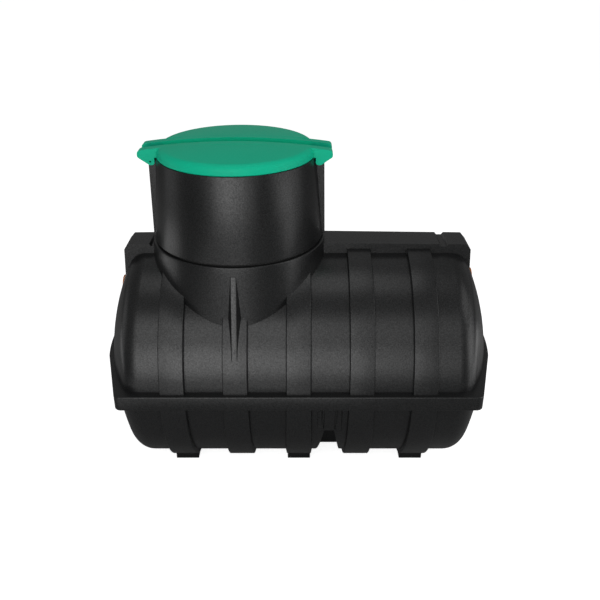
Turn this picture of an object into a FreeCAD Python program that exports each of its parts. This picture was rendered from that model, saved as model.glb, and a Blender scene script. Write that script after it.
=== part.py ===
import FreeCAD, Part
import math
import os

# Underground water tank: a lying plastic tank with domed ends, five hoops, a belt at mid
# height, a rail along the crown, a manhole neck with a riser and a lift-off lid.
# Millimetres. X runs along the tank, the front looks along -Y, +Z is up.
# The shapes are made about the tank's own axis and raised by AXIS_HEIGHT at the end,
# so the origin is on the ground under the middle of the tank.

# Driving dimensions of the body
BODY_RADIUS = 600.0
WALL = 10.0
CROWN_RADIUS = 1180.0
CROWN_APEX = 1023.0
KNUCKLE_RADIUS = 104.0
BELLY_RISE = 72.0
BELLY_DROP = BODY_RADIUS - BELLY_RISE

# Hoops
HOOP_COUNT = 5
HOOP_END_SETBACK = 396.0
HOOP_HEIGHT = 25.0
UPPER_HOOP_WIDTH = 122.0
UPPER_HOOP_DRAFT = 3.0
LOWER_HOOP_WIDTH = 133.0
LOWER_HOOP_BELT_WIDTH = 132.0
LOWER_HOOP_DRAFT = 8.0
HOOP_RADIUS = BODY_RADIUS + HOOP_HEIGHT
HOOP_PITCH = 2 * (CROWN_APEX - HOOP_END_SETBACK) / (HOOP_COUNT - 1)

# Belt round the body at mid height, stated against the body's flank and dome
BELT_TOP = 65.0
BELT_BOTTOM = -13.0
BELT_STAND = 44.0
BELT_CORNER_SETBACK = 115.0
BELT_CORNER_RADIUS = 36.0
BELT_SLANT_Y = 246.0
BELT_NOSE = 24.0
BELT_EDGE = 3.0
BELT_HALF_WIDTH = BODY_RADIUS + BELT_STAND
BELT_CORNER_X = CROWN_APEX - BELT_CORNER_SETBACK
BELT_HALF_LENGTH = CROWN_APEX + BELT_NOSE

# Rail along the crown of the body
RAIL_HALF_WIDTH = 85.0
RAIL_STAND_MIDDLE = 52.0
RAIL_STAND_END = 43.0
RAIL_LEFT_SETBACK = 107.0
RAIL_RIGHT_SETBACK = 121.0
RAIL_CHAMFER_RUN = 26.0
RAIL_CHAMFER_DROP = 30.0
RAIL_END_SLOPE = 0.055
NOTCH_SETBACK = 264.0
NOTCH_TOP_WIDTH = 46.0
NOTCH_FLOOR_WIDTH = 26.0
NOTCH_DEPTH = 13.0
RAIL_TOP_MIDDLE = BODY_RADIUS + RAIL_STAND_MIDDLE
RAIL_TOP_END = BODY_RADIUS + RAIL_STAND_END

# Feet, spread evenly under the hoops from the first to the last
FEET = ("foot_left", "foot_middle", "foot_right")
FOOT_HEIGHT = 22.0
FOOT_HALF_LENGTH = 358.0
FOOT_WIDTH = 126.0
AXIS_HEIGHT = BELLY_DROP + FOOT_HEIGHT

# Pockets low in both flanks, midway between two hoops, with a fluted rib above each
POCKET_BEFORE_HOOP = 3
POCKET_TOP_DROP = 192.0
POCKET_TOP_WIDTH = 52.0
POCKET_LOW_DROP = 464.0
POCKET_LOW_WIDTH = 130.0
POCKET_DEPTH = 356.0
POCKET_ROOF_FALL = 230.0
FLUTE_INNER = 26.0
FLUTE_OUTER = 64.0
FLUTE_DEPTH = 33.0
POCKET_BACK = BODY_RADIUS - POCKET_DEPTH
FLUTE_PLANE = BODY_RADIUS - FLUTE_DEPTH

# Manhole neck over the middle of one hoop, and its two gussets
NECK_HOOP = 1
NECK_MARGIN = 153.0
NECK_RISE = 73.0
NECK_FLARE = 28.0
NECK_FLARE_HEIGHT = 307.0
GUSSET_RISE = 27.0
GUSSET_LOW = 236.0
GUSSET_LIFT = 1.0
GUSSET_LOW_LIFT = 3.0
GUSSET_EDGE_WIDTH = 27.0
GUSSET_ROOT_WIDTH = 70.0
GUSSET_DEPTH = 60.0
NECK_RIM_RADIUS = BODY_RADIUS - NECK_MARGIN
NECK_RIM_TOP = BODY_RADIUS + NECK_RISE
GUSSET_TOP = BODY_RADIUS + GUSSET_RISE

# Gasket and riser, set in from the rim of the neck
SHELF_INSET = 32.0
GASKET_LIP = 3.0
GASKET_INSET = 19.0
GASKET_HEIGHT = 8.0
RISER_INSET = 11.0
RISER_TAPER = 36.0
RISER_HEIGHT = 424.0
FIN_STAND = 7.0
FIN_SPREAD = 7.0
FIN_THICKNESS = 40.0
TAB_ROOT = 17.0
TAB_STAND = 64.0
TAB_RISE = 23.0
TAB_THICKNESS = 28.0
TAB_FLARE = 24.0
TAB_CORNER = 9.0
SHELF_RADIUS = NECK_RIM_RADIUS - SHELF_INSET
GASKET_RADIUS = NECK_RIM_RADIUS - GASKET_INSET
RISER_LOW_RADIUS = NECK_RIM_RADIUS - RISER_INSET
RISER_TOP_RADIUS = RISER_LOW_RADIUS - RISER_TAPER
RISER_LOW = NECK_RIM_TOP + GASKET_HEIGHT
RISER_TOP = RISER_LOW + RISER_HEIGHT
FIN_REACH = RISER_LOW_RADIUS + FIN_STAND
FIN_FOOT_REACH = FIN_REACH + FIN_SPREAD
TAB_REACH = RISER_TOP_RADIUS + TAB_STAND
TAB_TOP = RISER_TOP + TAB_RISE
TAB_LOW = TAB_TOP - TAB_THICKNESS

# Lid, set on the top of the riser
LID_SEAT_GAP = 0.3
LID_INSET = 3.0
LID_BULLNOSE = 35.0
LID_RISE = 70.0
LID_LIP = 18.0
LID_LIP_EDGE = 4.0
LID_WALL = 7.0
LID_PLUG_CLEARANCE = 8.0
LID_PLUG_WALL = 8.0
LID_PLUG_DEPTH = 45.0
LID_RADIUS = RISER_TOP_RADIUS - LID_INSET
LID_CROWN = RISER_TOP + LID_RISE
LID_NOSE_REACH = LID_RADIUS - LID_BULLNOSE
LID_NOSE_DROP = LID_RISE - LID_LIP
LID_DOME_RADIUS = (LID_NOSE_REACH ** 2 + LID_NOSE_DROP ** 2 - LID_BULLNOSE ** 2) / (
    2 * (LID_NOSE_DROP - LID_BULLNOSE))

# Bar across the lid: two rails either side of a slot, with ears over the tabs
BAR_WIDTH = 51.0
BAR_TAB_CLEARANCE = 17.0
SLOT_DEPTH = 20.0
SLOT_INSET = 26.0
BAR_END_CLEARANCE = 18.0
BAR_FALL = 33.0
BAR_DEPTH = 27.0
BAR_WEB_INSET = 16.0
BAR_CORNER = 10.0
EAR_CLEARANCE = 6.0
EAR_SHOULDER_DROP = 34.0
EAR_DROP = 37.0
EAR_TIP_STAND = 24.0
EAR_TIP_INSET = 2.0
EAR_TIP_CORNER = 9.0
LOCK_HOLE_RADIUS = 5.0
LOCK_HOLE_STAND = 20.0
LOCK_HOLE_DROP = 19.0
SLOT_HALF_WIDTH = FIN_THICKNESS / 2 + BAR_TAB_CLEARANCE
BAR_HALF_WIDTH = SLOT_HALF_WIDTH + BAR_WIDTH
SLOT_END = RISER_TOP_RADIUS - SLOT_INSET
BAR_REACH = TAB_REACH + BAR_END_CLEARANCE
BAR_END_TOP = LID_CROWN - BAR_FALL
BAR_WEB_INNER = RISER_TOP_RADIUS - BAR_WEB_INSET
EAR_SHOULDER = BAR_END_TOP - EAR_SHOULDER_DROP
EAR_TIP = RISER_TOP - EAR_DROP
EAR_TIP_OUTER = RISER_TOP_RADIUS + EAR_TIP_STAND
EAR_TIP_INNER = RISER_TOP_RADIUS - EAR_TIP_INSET
LOCK_HOLE_REACH = RISER_TOP_RADIUS + LOCK_HOLE_STAND
LOCK_HOLE_HEIGHT = RISER_TOP - LOCK_HOLE_DROP

# Pipe sockets in the domed ends
PIPE_RADIUS = 55.0
PIPE_WALL = 3.2
PIPE_TAIL = 90.0
INLET_HEIGHT = 412.0
INLET_SETBACK = 87.0
OUTLET_HEIGHT = 368.0
OUTLET_SETBACK = 66.0
PAD_BORDER = 8.0
PAD_SETBACK = 14.0
PAD_RADIUS = PIPE_RADIUS + PAD_BORDER
PIPES = {
    "pipe_inlet": (CROWN_APEX - INLET_SETBACK, INLET_HEIGHT),
    "pipe_outlet": (OUTLET_SETBACK - CROWN_APEX, OUTLET_HEIGHT),
}

# Cutting blocks reach this far past what they cut
SPARE = 60.0


def hoop_place(index):
    """Place of a hoop along the tank, counted from the left end."""
    return (index - (HOOP_COUNT - 1) / 2) * HOOP_PITCH


NECK_PLACE = hoop_place(NECK_HOOP)
POCKET_PLACE = hoop_place(POCKET_BEFORE_HOOP) - HOOP_PITCH / 2

X_AXIS = FreeCAD.Vector(1, 0, 0)
Y_AXIS = FreeCAD.Vector(0, 1, 0)
Z_AXIS = FreeCAD.Vector(0, 0, 1)
ORIGIN = FreeCAD.Vector(0, 0, 0)
SIDES = {"front": -1, "back": 1}


def vec(x, y, z):
    return FreeCAD.Vector(x, y, z)


def block(x_range, y_range, z_range):
    """Block between two ends along each axis."""
    x0, x1 = sorted(x_range)
    y0, y1 = sorted(y_range)
    z0, z1 = sorted(z_range)
    return Part.makeBox(x1 - x0, y1 - y0, z1 - z0, vec(x0, y0, z0))


def polygon(points):
    """Closed face through the given points."""
    return Part.Face(Part.makePolygon(points + points[:1]))


def arc(start, middle, end):
    return Part.Arc(start, middle, end).toShape()


def line(start, end):
    return Part.LineSegment(start, end).toShape()


def face_of(edges):
    return Part.Face(Part.Wire(edges))


def polar(centre, radius, angle):
    """Point at an angle from +X towards +Z about a centre in the XZ plane."""
    return vec(centre.x + radius * math.cos(angle), 0, centre.z + radius * math.sin(angle))


def biggest(shape):
    return max(shape.Solids, key=lambda solid: solid.Volume)


def rounded(shape, corners, radius, size=1.0):
    """Rounds the edges along Y that pass through the given corners of the XZ outline."""
    edges = []
    for edge in shape.Edges:
        box = edge.BoundBox
        if box.XLength > size or box.ZLength > size:
            continue
        for x, z in corners:
            if abs(box.XMin - x) < size and abs(box.ZMin - z) < size:
                edges.append(edge)
    return shape.makeFillet(radius, edges)


# Body

def crown_centre():
    return vec(CROWN_APEX - CROWN_RADIUS, 0, 0)


def knuckle_centre():
    """Centre of the knuckle arc, tangent to the cylinder and to the crown."""
    across = BODY_RADIUS - KNUCKLE_RADIUS
    reach = CROWN_RADIUS - KNUCKLE_RADIUS
    return vec(crown_centre().x + math.sqrt(reach ** 2 - across ** 2), 0, across)


def round_body(inset):
    """Cylinder with a knuckle and a dished crown at each end, smaller all round by inset."""
    crown, knuckle = CROWN_RADIUS - inset, KNUCKLE_RADIUS - inset
    dish, bend = crown_centre(), knuckle_centre()
    lean = math.atan2(bend.z - dish.z, bend.x - dish.x)
    apex = polar(dish, crown, 0)
    join = polar(dish, crown, lean)
    shoulder = polar(bend, knuckle, math.pi / 2)
    middle = vec(0, 0, shoulder.z)
    half = face_of([
        line(ORIGIN, apex),
        arc(apex, polar(dish, crown, lean / 2), join),
        arc(join, polar(bend, knuckle, (lean + math.pi / 2) / 2), shoulder),
        line(shoulder, middle),
        line(middle, ORIGIN),
    ]).revolve(ORIGIN, X_AXIS, 360)
    return half.fuse(half.mirror(ORIGIN, X_AXIS)).removeSplitter()


def pocket(side, grow):
    """Wedge pocket in one flank: narrow under its sloping roof, open below; larger by grow."""
    slope = (POCKET_LOW_WIDTH - POCKET_TOP_WIDTH) / 2 / (POCKET_LOW_DROP - POCKET_TOP_DROP)
    top = -POCKET_TOP_DROP + grow
    low = -BODY_RADIUS - SPARE
    half_top = POCKET_TOP_WIDTH / 2 + grow
    half_low = half_top + slope * (top - low)
    mouth = side * (BODY_RADIUS + SPARE)
    back = side * (POCKET_BACK - grow)
    wedge = polygon([
        vec(POCKET_PLACE - half_top, mouth, top),
        vec(POCKET_PLACE + half_top, mouth, top),
        vec(POCKET_PLACE + half_low, mouth, low),
        vec(POCKET_PLACE - half_low, mouth, low),
    ]).extrude(vec(0, back - mouth, 0))
    lip = side * math.sqrt(BODY_RADIUS ** 2 - POCKET_TOP_DROP ** 2)
    deep = side * (POCKET_BACK - SPARE)
    fall = top - POCKET_ROOF_FALL
    roof = polygon([
        vec(POCKET_PLACE - BODY_RADIUS, lip, top),
        vec(POCKET_PLACE - BODY_RADIUS, side * POCKET_BACK, fall),
        vec(POCKET_PLACE - BODY_RADIUS, deep, fall),
        vec(POCKET_PLACE - BODY_RADIUS, deep, top + SPARE),
        vec(POCKET_PLACE - BODY_RADIUS, lip, top + SPARE),
    ]).extrude(vec(2 * BODY_RADIUS, 0, 0))
    return wedge.cut(roof)


def flutes(side, grow):
    """Two upright flutes under the belt with a flat floor, one each side of a rib."""
    starts = (FLUTE_INNER, -FLUTE_OUTER)
    width = FLUTE_OUTER - FLUTE_INNER
    y_range = (side * (FLUTE_PLANE - grow), side * (BODY_RADIUS + SPARE))
    z_range = (-POCKET_TOP_DROP - SPARE, BELT_BOTTOM + grow)
    return [block((POCKET_PLACE + start - grow, POCKET_PLACE + start + width + grow),
                  y_range, z_range) for start in starts]


def pipe_rod(radius, start, end, height):
    """Rod along the tank from start to end at the given height above the axis."""
    low, high = sorted((start, end))
    return Part.makeCylinder(radius, high - low, vec(low, 0, height), X_AXIS)


def body_form(inset):
    """Solid form of the body: flat belly, pockets, flutes and flat pads for the pipes."""
    solid = round_body(inset)
    for end, height in PIPES.values():
        way = math.copysign(1, end)
        pad = end - way * (PAD_SETBACK + inset)
        root = end - way * (PAD_SETBACK + PIPE_TAIL)
        solid = solid.fuse(pipe_rod(PAD_RADIUS - inset, root, pad, height))
        solid = solid.cut(pipe_rod(PAD_RADIUS + inset, pad, end + way * 2 * SPARE, height))
    reach, top = CROWN_APEX + SPARE, BODY_RADIUS + SPARE
    solid = solid.common(block((-reach, reach), (-top, top), (inset - BELLY_DROP, top)))
    for side in SIDES.values():
        for cutter in [pocket(side, inset)] + flutes(side, inset):
            solid = solid.cut(cutter)
    return solid


def shell_nodes(form, hollow, manhole):
    """Wall of the body, in four quarters of the barrel and two domed ends."""
    wall = form.cut(hollow).cut(manhole)
    for end, height in PIPES.values():
        wall = wall.cut(pipe_rod(PIPE_RADIUS, 0, 2 * end, height))
    seam = knuckle_centre().x
    reach, side = CROWN_APEX + SPARE, BODY_RADIUS + SPARE
    mid = (BELT_TOP + BELT_BOTTOM) / 2
    nodes = {
        "end_left": wall.common(block((-reach, -seam), (-side, side), (-side, side))),
        "end_right": wall.common(block((seam, reach), (-side, side), (-side, side))),
    }
    for name, sign in SIDES.items():
        upper = block((-seam, seam), (0, sign * side), (mid, side))
        lower = block((-seam, seam), (0, sign * side), (-side, mid))
        nodes["shell_upper_" + name] = wall.common(upper)
        nodes["shell_lower_" + name] = wall.common(lower)
    return nodes


def pipe_node(end, height):
    """Short pipe through the wall of a domed end."""
    start = end - math.copysign(PAD_SETBACK + PIPE_TAIL, end)
    bore = pipe_rod(PIPE_RADIUS - PIPE_WALL, start, end, height)
    return pipe_rod(PIPE_RADIUS, start, end, height).cut(bore)


# Hoops, belt, rail and feet

def hoop(index, width, draft, low, high):
    """Hoop of trapezium section round the body, kept between two heights."""
    place, half = hoop_place(index), width / 2
    ring = polygon([
        vec(place - half - draft, 0, BODY_RADIUS),
        vec(place - half, 0, HOOP_RADIUS),
        vec(place + half, 0, HOOP_RADIUS),
        vec(place + half + draft, 0, BODY_RADIUS),
    ]).revolve(ORIGIN, X_AXIS, 360)
    side = BODY_RADIUS + SPARE
    return ring.common(block((-CROWN_APEX, CROWN_APEX), (-side, side), (low, high)))


def upper_hoop(index, neck_cone):
    """Hoop above the belt, stopped by the rail and by the neck."""
    ring = hoop(index, UPPER_HOOP_WIDTH, UPPER_HOOP_DRAFT, BELT_TOP, BODY_RADIUS + SPARE)
    half = RAIL_HALF_WIDTH
    rail_space = block((-CROWN_APEX, CROWN_APEX), (-half, half), (0, BODY_RADIUS + SPARE))
    return ring.cut(rail_space).cut(neck_cone)


def lower_hoop(index, form):
    """Hoop below the belt, narrower where it leaves the belt, stopped at the flat belly."""
    ring = hoop(index, LOWER_HOOP_WIDTH, LOWER_HOOP_DRAFT, -BELLY_DROP, BELT_BOTTOM)
    place, side = hoop_place(index), BODY_RADIUS + SPARE
    half_top = LOWER_HOOP_BELT_WIDTH / 2
    half_low = LOWER_HOOP_WIDTH / 2 + LOWER_HOOP_DRAFT
    outline = polygon([
        vec(place - half_top, -side, BELT_BOTTOM),
        vec(place + half_top, -side, BELT_BOTTOM),
        vec(place + half_low, -side, -BELLY_DROP),
        vec(place - half_low, -side, -BELLY_DROP),
    ]).extrude(vec(0, 2 * side, 0))
    return ring.common(outline).cut(form)


def belt_plan():
    """Plan of the belt: straight flanks, rounded corners, slanting and bowed ends."""
    corner = vec(BELT_CORNER_X, -BELT_HALF_WIDTH, 0)
    slant = vec(CROWN_APEX, -BELT_SLANT_Y, 0)
    way = slant.sub(corner).normalize()
    turn = math.atan2(way.y, way.x)
    cut = BELT_CORNER_RADIUS * math.tan(turn / 2)
    before = corner.sub(vec(cut, 0, 0))
    after = corner.add(way * cut)
    centre = before.add(vec(0, BELT_CORNER_RADIUS, 0))
    middle = centre.add(vec(math.sin(turn / 2), -math.cos(turn / 2), 0) * BELT_CORNER_RADIUS)
    tip = vec(BELT_HALF_LENGTH, 0, 0)

    def turned(point, x_sign, y_sign):
        return vec(point.x * x_sign, point.y * y_sign, 0)

    edges = []
    for x_sign in (1, -1):
        low, high = turned(slant, x_sign, 1), turned(slant, x_sign, -1)
        edges.append(arc(low, turned(tip, x_sign, 1), high))
        for y_sign in (1, -1):
            near, far = turned(before, x_sign, y_sign), turned(after, x_sign, y_sign)
            edges.append(arc(near, turned(middle, x_sign, y_sign), far))
            edges.append(line(far, turned(slant, x_sign, y_sign)))
    for y_sign in (1, -1):
        edges.append(line(turned(before, -1, y_sign), turned(before, 1, y_sign)))
    return Part.Face(Part.Wire(Part.__sortEdges__(edges)))


def belt_nodes(form):
    """Belt round the body with broken outer edges, in two flanks and two ends."""
    plan = belt_plan()
    plan.translate(vec(0, 0, BELT_BOTTOM))
    slab = plan.extrude(vec(0, 0, BELT_TOP - BELT_BOTTOM))
    rims = [edge for edge in slab.Edges if edge.BoundBox.ZLength < BELT_EDGE / 2]
    ring = slab.makeChamfer(BELT_EDGE, rims).cut(form)
    ring = ring.cut(round_body(0))
    seam = BELT_CORNER_X - 2 * BELT_CORNER_RADIUS
    reach, side = BELT_HALF_LENGTH + SPARE, BELT_HALF_WIDTH + SPARE
    height = (BELT_BOTTOM - SPARE, BELT_TOP + SPARE)
    return {
        "belt_front": ring.common(block((-seam, seam), (-side, 0), height)),
        "belt_back": ring.common(block((-seam, seam), (0, side), height)),
        "belt_left": ring.common(block((-reach, -seam), (-side, side), height)),
        "belt_right": ring.common(block((seam, reach), (-side, side), height)),
    }


def strap_notch(end):
    """Trapezium notch for a lifting strap across the length of rail with this end."""
    place = math.copysign(CROWN_APEX - NOTCH_SETBACK, end)
    share = abs(place) / (abs(end) - RAIL_CHAMFER_RUN)
    top = RAIL_TOP_MIDDLE + (RAIL_TOP_END - RAIL_TOP_MIDDLE) * share
    flare = (NOTCH_TOP_WIDTH - NOTCH_FLOOR_WIDTH) / 2 / NOTCH_DEPTH
    half_floor = NOTCH_FLOOR_WIDTH / 2
    half_top = half_floor + flare * (NOTCH_DEPTH + SPARE)
    y = -RAIL_HALF_WIDTH - SPARE
    return polygon([
        vec(place - half_floor, y, top - NOTCH_DEPTH),
        vec(place + half_floor, y, top - NOTCH_DEPTH),
        vec(place + half_top, y, top + SPARE),
        vec(place - half_top, y, top + SPARE),
    ]).extrude(vec(0, -2 * y, 0))


def rail(end, neck_cone):
    """One length of the rail along the crown, from the neck to a chamfered, leaning end."""
    way = math.copysign(1, end)
    chamfer = end - way * RAIL_CHAMFER_RUN
    end_top = RAIL_TOP_END - RAIL_CHAMFER_DROP
    foot = end + way * RAIL_END_SLOPE * end_top
    y = -RAIL_HALF_WIDTH
    bar = polygon([
        vec(0, y, 0),
        vec(0, y, RAIL_TOP_MIDDLE),
        vec(chamfer, y, RAIL_TOP_END),
        vec(end, y, end_top),
        vec(foot, y, 0),
    ]).extrude(vec(0, -2 * y, 0))
    bar = bar.cut(strap_notch(end)).cut(round_body(0)).cut(neck_cone)
    return biggest(bar)


def foot(index, form):
    """Flat saddle pad under a hoop, shaped to the belly and to the hoop above it."""
    half = FOOT_WIDTH / 2
    place = hoop_place(index)
    top = -math.sqrt(HOOP_RADIUS ** 2 - FOOT_HALF_LENGTH ** 2)
    pad = block((place - half, place + half), (-FOOT_HALF_LENGTH, FOOT_HALF_LENGTH),
                (-AXIS_HEIGHT, top))
    return pad.cut(form).cut(lower_hoop(index, form))


# Neck, gussets and riser

def cone(low_radius, top_radius, low, top):
    """Upright cone about the axis of the manhole."""
    base = vec(NECK_PLACE, 0, low)
    if abs(low_radius - top_radius) < WALL / 1000:
        return Part.makeCylinder(low_radius, top - low, base, Z_AXIS)
    return Part.makeCone(low_radius, top_radius, top - low, base, Z_AXIS)


def neck_radius(height):
    slope = NECK_FLARE / NECK_FLARE_HEIGHT
    return NECK_RIM_RADIUS + slope * (NECK_RIM_TOP - height)


def neck_form(inset, top):
    """Solid cone of the neck from the tank axis upwards, smaller by inset."""
    return cone(neck_radius(0) - inset, neck_radius(top) - inset, 0, top)


def neck(form):
    """Conical wall that grows out of the body and carries an inward shelf at its rim."""
    outside = neck_form(0, NECK_RIM_TOP)
    mouth = cone(SHELF_RADIUS, SHELF_RADIUS, 0, NECK_RIM_TOP)
    hollow = neck_form(WALL, NECK_RIM_TOP - WALL)
    return outside.cut(hollow).cut(mouth).cut(form)


def gusset(neck_cone):
    """Back gusset between neck and body: a narrow edge on flanks that spread to the root."""
    top_reach = neck_radius(GUSSET_TOP) + GUSSET_LIFT
    low_reach = math.sqrt(HOOP_RADIUS ** 2 - GUSSET_LOW ** 2) + GUSSET_LOW_LIFT
    start = vec(NECK_PLACE, top_reach, GUSSET_TOP)
    end = vec(NECK_PLACE, low_reach, GUSSET_LOW)
    along = end.sub(start)
    inward = vec(0, along.z, -along.y).normalize()
    half_edge = GUSSET_EDGE_WIDTH / 2
    half_root = half_edge + (GUSSET_ROOT_WIDTH / 2 - half_edge) * 2
    root = start.add(inward * (GUSSET_DEPTH * 2))
    section = polygon([
        start.add(vec(-half_edge, 0, 0)),
        start.add(vec(half_edge, 0, 0)),
        root.add(vec(half_root, 0, 0)),
        root.add(vec(-half_root, 0, 0)),
    ])
    fin = section.extrude(along).cut(neck_cone).cut(round_body(0))
    under = hoop(NECK_HOOP, UPPER_HOOP_WIDTH, UPPER_HOOP_DRAFT, BELT_TOP, BODY_RADIUS + SPARE)
    return biggest(fin.cut(under))


def riser_radius(height):
    slope = RISER_TAPER / RISER_HEIGHT
    return RISER_TOP_RADIUS + slope * (RISER_TOP - height)


def riser_form(inset, low, top):
    return cone(riser_radius(low) - inset, riser_radius(top) - inset, low, top)


def gasket():
    """Flat ring on the rim of the neck, just wider inside than the shelf's mouth."""
    ring = cone(GASKET_RADIUS, GASKET_RADIUS, NECK_RIM_TOP, RISER_LOW)
    inner = SHELF_RADIUS + GASKET_LIP
    return ring.cut(cone(inner, inner, NECK_RIM_TOP, RISER_LOW))


def riser():
    """Tapered riser with an inward foot that stands on the gasket."""
    floor = RISER_LOW + WALL
    mouth = cone(SHELF_RADIUS, SHELF_RADIUS, RISER_LOW, floor)
    hollow = riser_form(WALL, floor, RISER_TOP)
    return riser_form(0, RISER_LOW, RISER_TOP).cut(hollow).cut(mouth)


def lock_hole():
    """Cross drilling for a padlock through the left ears and the tab between them."""
    start = vec(-LOCK_HOLE_REACH, -BAR_HALF_WIDTH - SPARE, LOCK_HOLE_HEIGHT)
    return Part.makeCylinder(LOCK_HOLE_RADIUS, 2 * (BAR_HALF_WIDTH + SPARE), start, Y_AXIS)


def fin(way):
    """Fin up one side of the riser that ends in a tab standing above the rim."""
    y = -FIN_THICKNESS / 2
    tab_inner = RISER_TOP_RADIUS - TAB_ROOT
    plate = polygon([
        vec(0, y, RISER_LOW),
        vec(FIN_FOOT_REACH, y, RISER_LOW),
        vec(FIN_REACH, y, TAB_LOW - TAB_FLARE),
        vec(TAB_REACH, y, TAB_LOW),
        vec(TAB_REACH, y, TAB_TOP),
        vec(tab_inner, y, TAB_TOP),
        vec(tab_inner, y, RISER_TOP),
        vec(0, y, RISER_TOP),
    ]).extrude(vec(0, FIN_THICKNESS, 0))
    plate = rounded(plate, [(TAB_REACH, TAB_TOP), (TAB_REACH, TAB_LOW)], TAB_CORNER)
    if way < 0:
        plate = plate.mirror(ORIGIN, X_AXIS).cut(lock_hole())
    plate.translate(vec(NECK_PLACE, 0, 0))
    return biggest(plate.cut(riser_form(0, RISER_LOW, RISER_TOP)))


# Lid

def lid_seat():
    return RISER_TOP + LID_SEAT_GAP


def lid_form(inset):
    """Solid form of the lid: flat dome with a bullnose edge, smaller by inset."""
    dome, nose = LID_DOME_RADIUS - inset, LID_BULLNOSE - inset
    centre = vec(0, 0, LID_CROWN - LID_DOME_RADIUS)
    across = LID_RADIUS - LID_BULLNOSE
    rise = math.sqrt((LID_DOME_RADIUS - LID_BULLNOSE) ** 2 - across ** 2)
    bend = vec(across, 0, centre.z + rise)
    lean = math.atan2(bend.z - centre.z, bend.x - centre.x)
    crown = polar(centre, dome, math.pi / 2)
    join = polar(centre, dome, lean)
    edge = polar(bend, nose, 0)
    lip = vec(edge.x, 0, lid_seat() + LID_LIP_EDGE)
    foot_out, foot_in = vec(edge.x - LID_LIP_EDGE, 0, lid_seat()), vec(0, 0, lid_seat())
    form = face_of([
        line(foot_in, foot_out),
        line(foot_out, lip),
        line(lip, edge),
        arc(edge, polar(bend, nose, lean / 2), join),
        arc(join, polar(centre, dome, (lean + math.pi / 2) / 2), crown),
        line(crown, foot_in),
    ]).revolve(ORIGIN, Z_AXIS, 360)
    form.translate(vec(NECK_PLACE, 0, 0))
    return form


def bar_arc(drop, reach):
    """Arc of the bar's top, lower by drop, between two ends at plus and minus reach."""
    end_reach = BAR_REACH - BAR_CORNER
    radius = (end_reach ** 2 + BAR_FALL ** 2) / 2 / BAR_FALL
    z = LID_CROWN - drop - radius + math.sqrt(radius ** 2 - reach ** 2)
    return vec(-reach, 0, z), vec(0, 0, LID_CROWN - drop), vec(reach, 0, z)


def bar_rail():
    """Side view of one rail of the bar with an ear hanging down at each end."""
    left, top, right = bar_arc(0, BAR_REACH)
    under_left, under, under_right = bar_arc(BAR_DEPTH, BAR_WEB_INNER)
    seat = lid_seat()
    ear_inner = RISER_TOP_RADIUS + EAR_CLEARANCE + RISER_TAPER / RISER_HEIGHT * EAR_DROP
    ear = [
        right,
        vec(BAR_REACH, 0, EAR_SHOULDER),
        vec(EAR_TIP_OUTER, 0, EAR_TIP),
        vec(EAR_TIP_INNER, 0, EAR_TIP),
        vec(EAR_TIP_INNER, 0, seat),
        vec(BAR_WEB_INNER, 0, seat),
        under_right,
    ]
    edges = [arc(left, top, right), arc(under_left, under, under_right)]
    for sign in (1, -1):
        points = [vec(p.x * sign, 0, p.z) for p in ear]
        edges += [line(a, b) for a, b in zip(points, points[1:])]
    outline = Part.Face(Part.Wire(Part.__sortEdges__(edges)))
    outline.translate(vec(0, SLOT_HALF_WIDTH, 0))
    solid = outline.extrude(vec(0, BAR_HALF_WIDTH - SLOT_HALF_WIDTH, 0))
    for sign in (1, -1):
        ends = [(sign * BAR_REACH, right.z), (sign * BAR_REACH, EAR_SHOULDER)]
        solid = rounded(solid, ends, BAR_CORNER)
        tips = [(sign * EAR_TIP_OUTER, EAR_TIP)]
        solid = rounded(solid, tips, EAR_TIP_CORNER)
    clearance = Part.makeCylinder(ear_inner, seat, ORIGIN, Z_AXIS)
    return solid.cut(clearance).cut(lock_hole())


def slot_floor():
    """Floor of the slot between the two rails, with a wall at each end."""
    left, top, right = bar_arc(SLOT_DEPTH, SLOT_END)
    inner = SLOT_END - LID_WALL
    under_left, under, under_right = bar_arc(SLOT_DEPTH + LID_WALL, inner)
    seat = lid_seat()
    edges = [arc(left, top, right), arc(under_left, under, under_right)]
    for sign in (1, -1):
        points = [vec(sign * SLOT_END, 0, right.z), vec(sign * SLOT_END, 0, seat),
                  vec(sign * inner, 0, seat), vec(sign * inner, 0, under_right.z)]
        edges += [line(a, b) for a, b in zip(points, points[1:])]
    outline = Part.Face(Part.Wire(Part.__sortEdges__(edges)))
    outline.translate(vec(0, -SLOT_HALF_WIDTH, 0))
    return outline.extrude(vec(0, 2 * SLOT_HALF_WIDTH, 0))


def lid_bar():
    """Bar across the lid: two rails with ears and the floor of the slot between them."""
    rail_back = bar_rail()
    rail_front = rail_back.mirror(ORIGIN, Y_AXIS)
    bar = rail_back.fuse(slot_floor()).fuse(rail_front)
    bar.translate(vec(NECK_PLACE, 0, 0))
    return bar


def lid_nodes():
    """Lid: two domed leaves, the bar between them and the plug ring inside the riser."""
    bar = lid_bar()
    leaf = lid_form(0).cut(lid_form(LID_WALL))
    reach = LID_RADIUS + SPARE
    x_range = (NECK_PLACE - reach, NECK_PLACE + reach)
    height = (0, LID_CROWN + SPARE)
    nodes = {"lid_bar": bar}
    for name, sign in SIDES.items():
        half = block(x_range, (sign * BAR_HALF_WIDTH, sign * reach), height)
        nodes["lid_leaf_" + name] = leaf.common(half)
    radius = RISER_TOP_RADIUS - WALL - LID_PLUG_CLEARANCE
    low = RISER_TOP - LID_PLUG_DEPTH
    ring = cone(radius, radius, low, LID_CROWN)
    ring = ring.cut(cone(radius - LID_PLUG_WALL, radius - LID_PLUG_WALL, low, LID_CROWN))
    under = lid_form(LID_WALL).fuse(cone(radius, radius, low, lid_seat()))
    nodes["lid_plug"] = biggest(ring.common(under).cut(bar))
    return nodes


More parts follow.
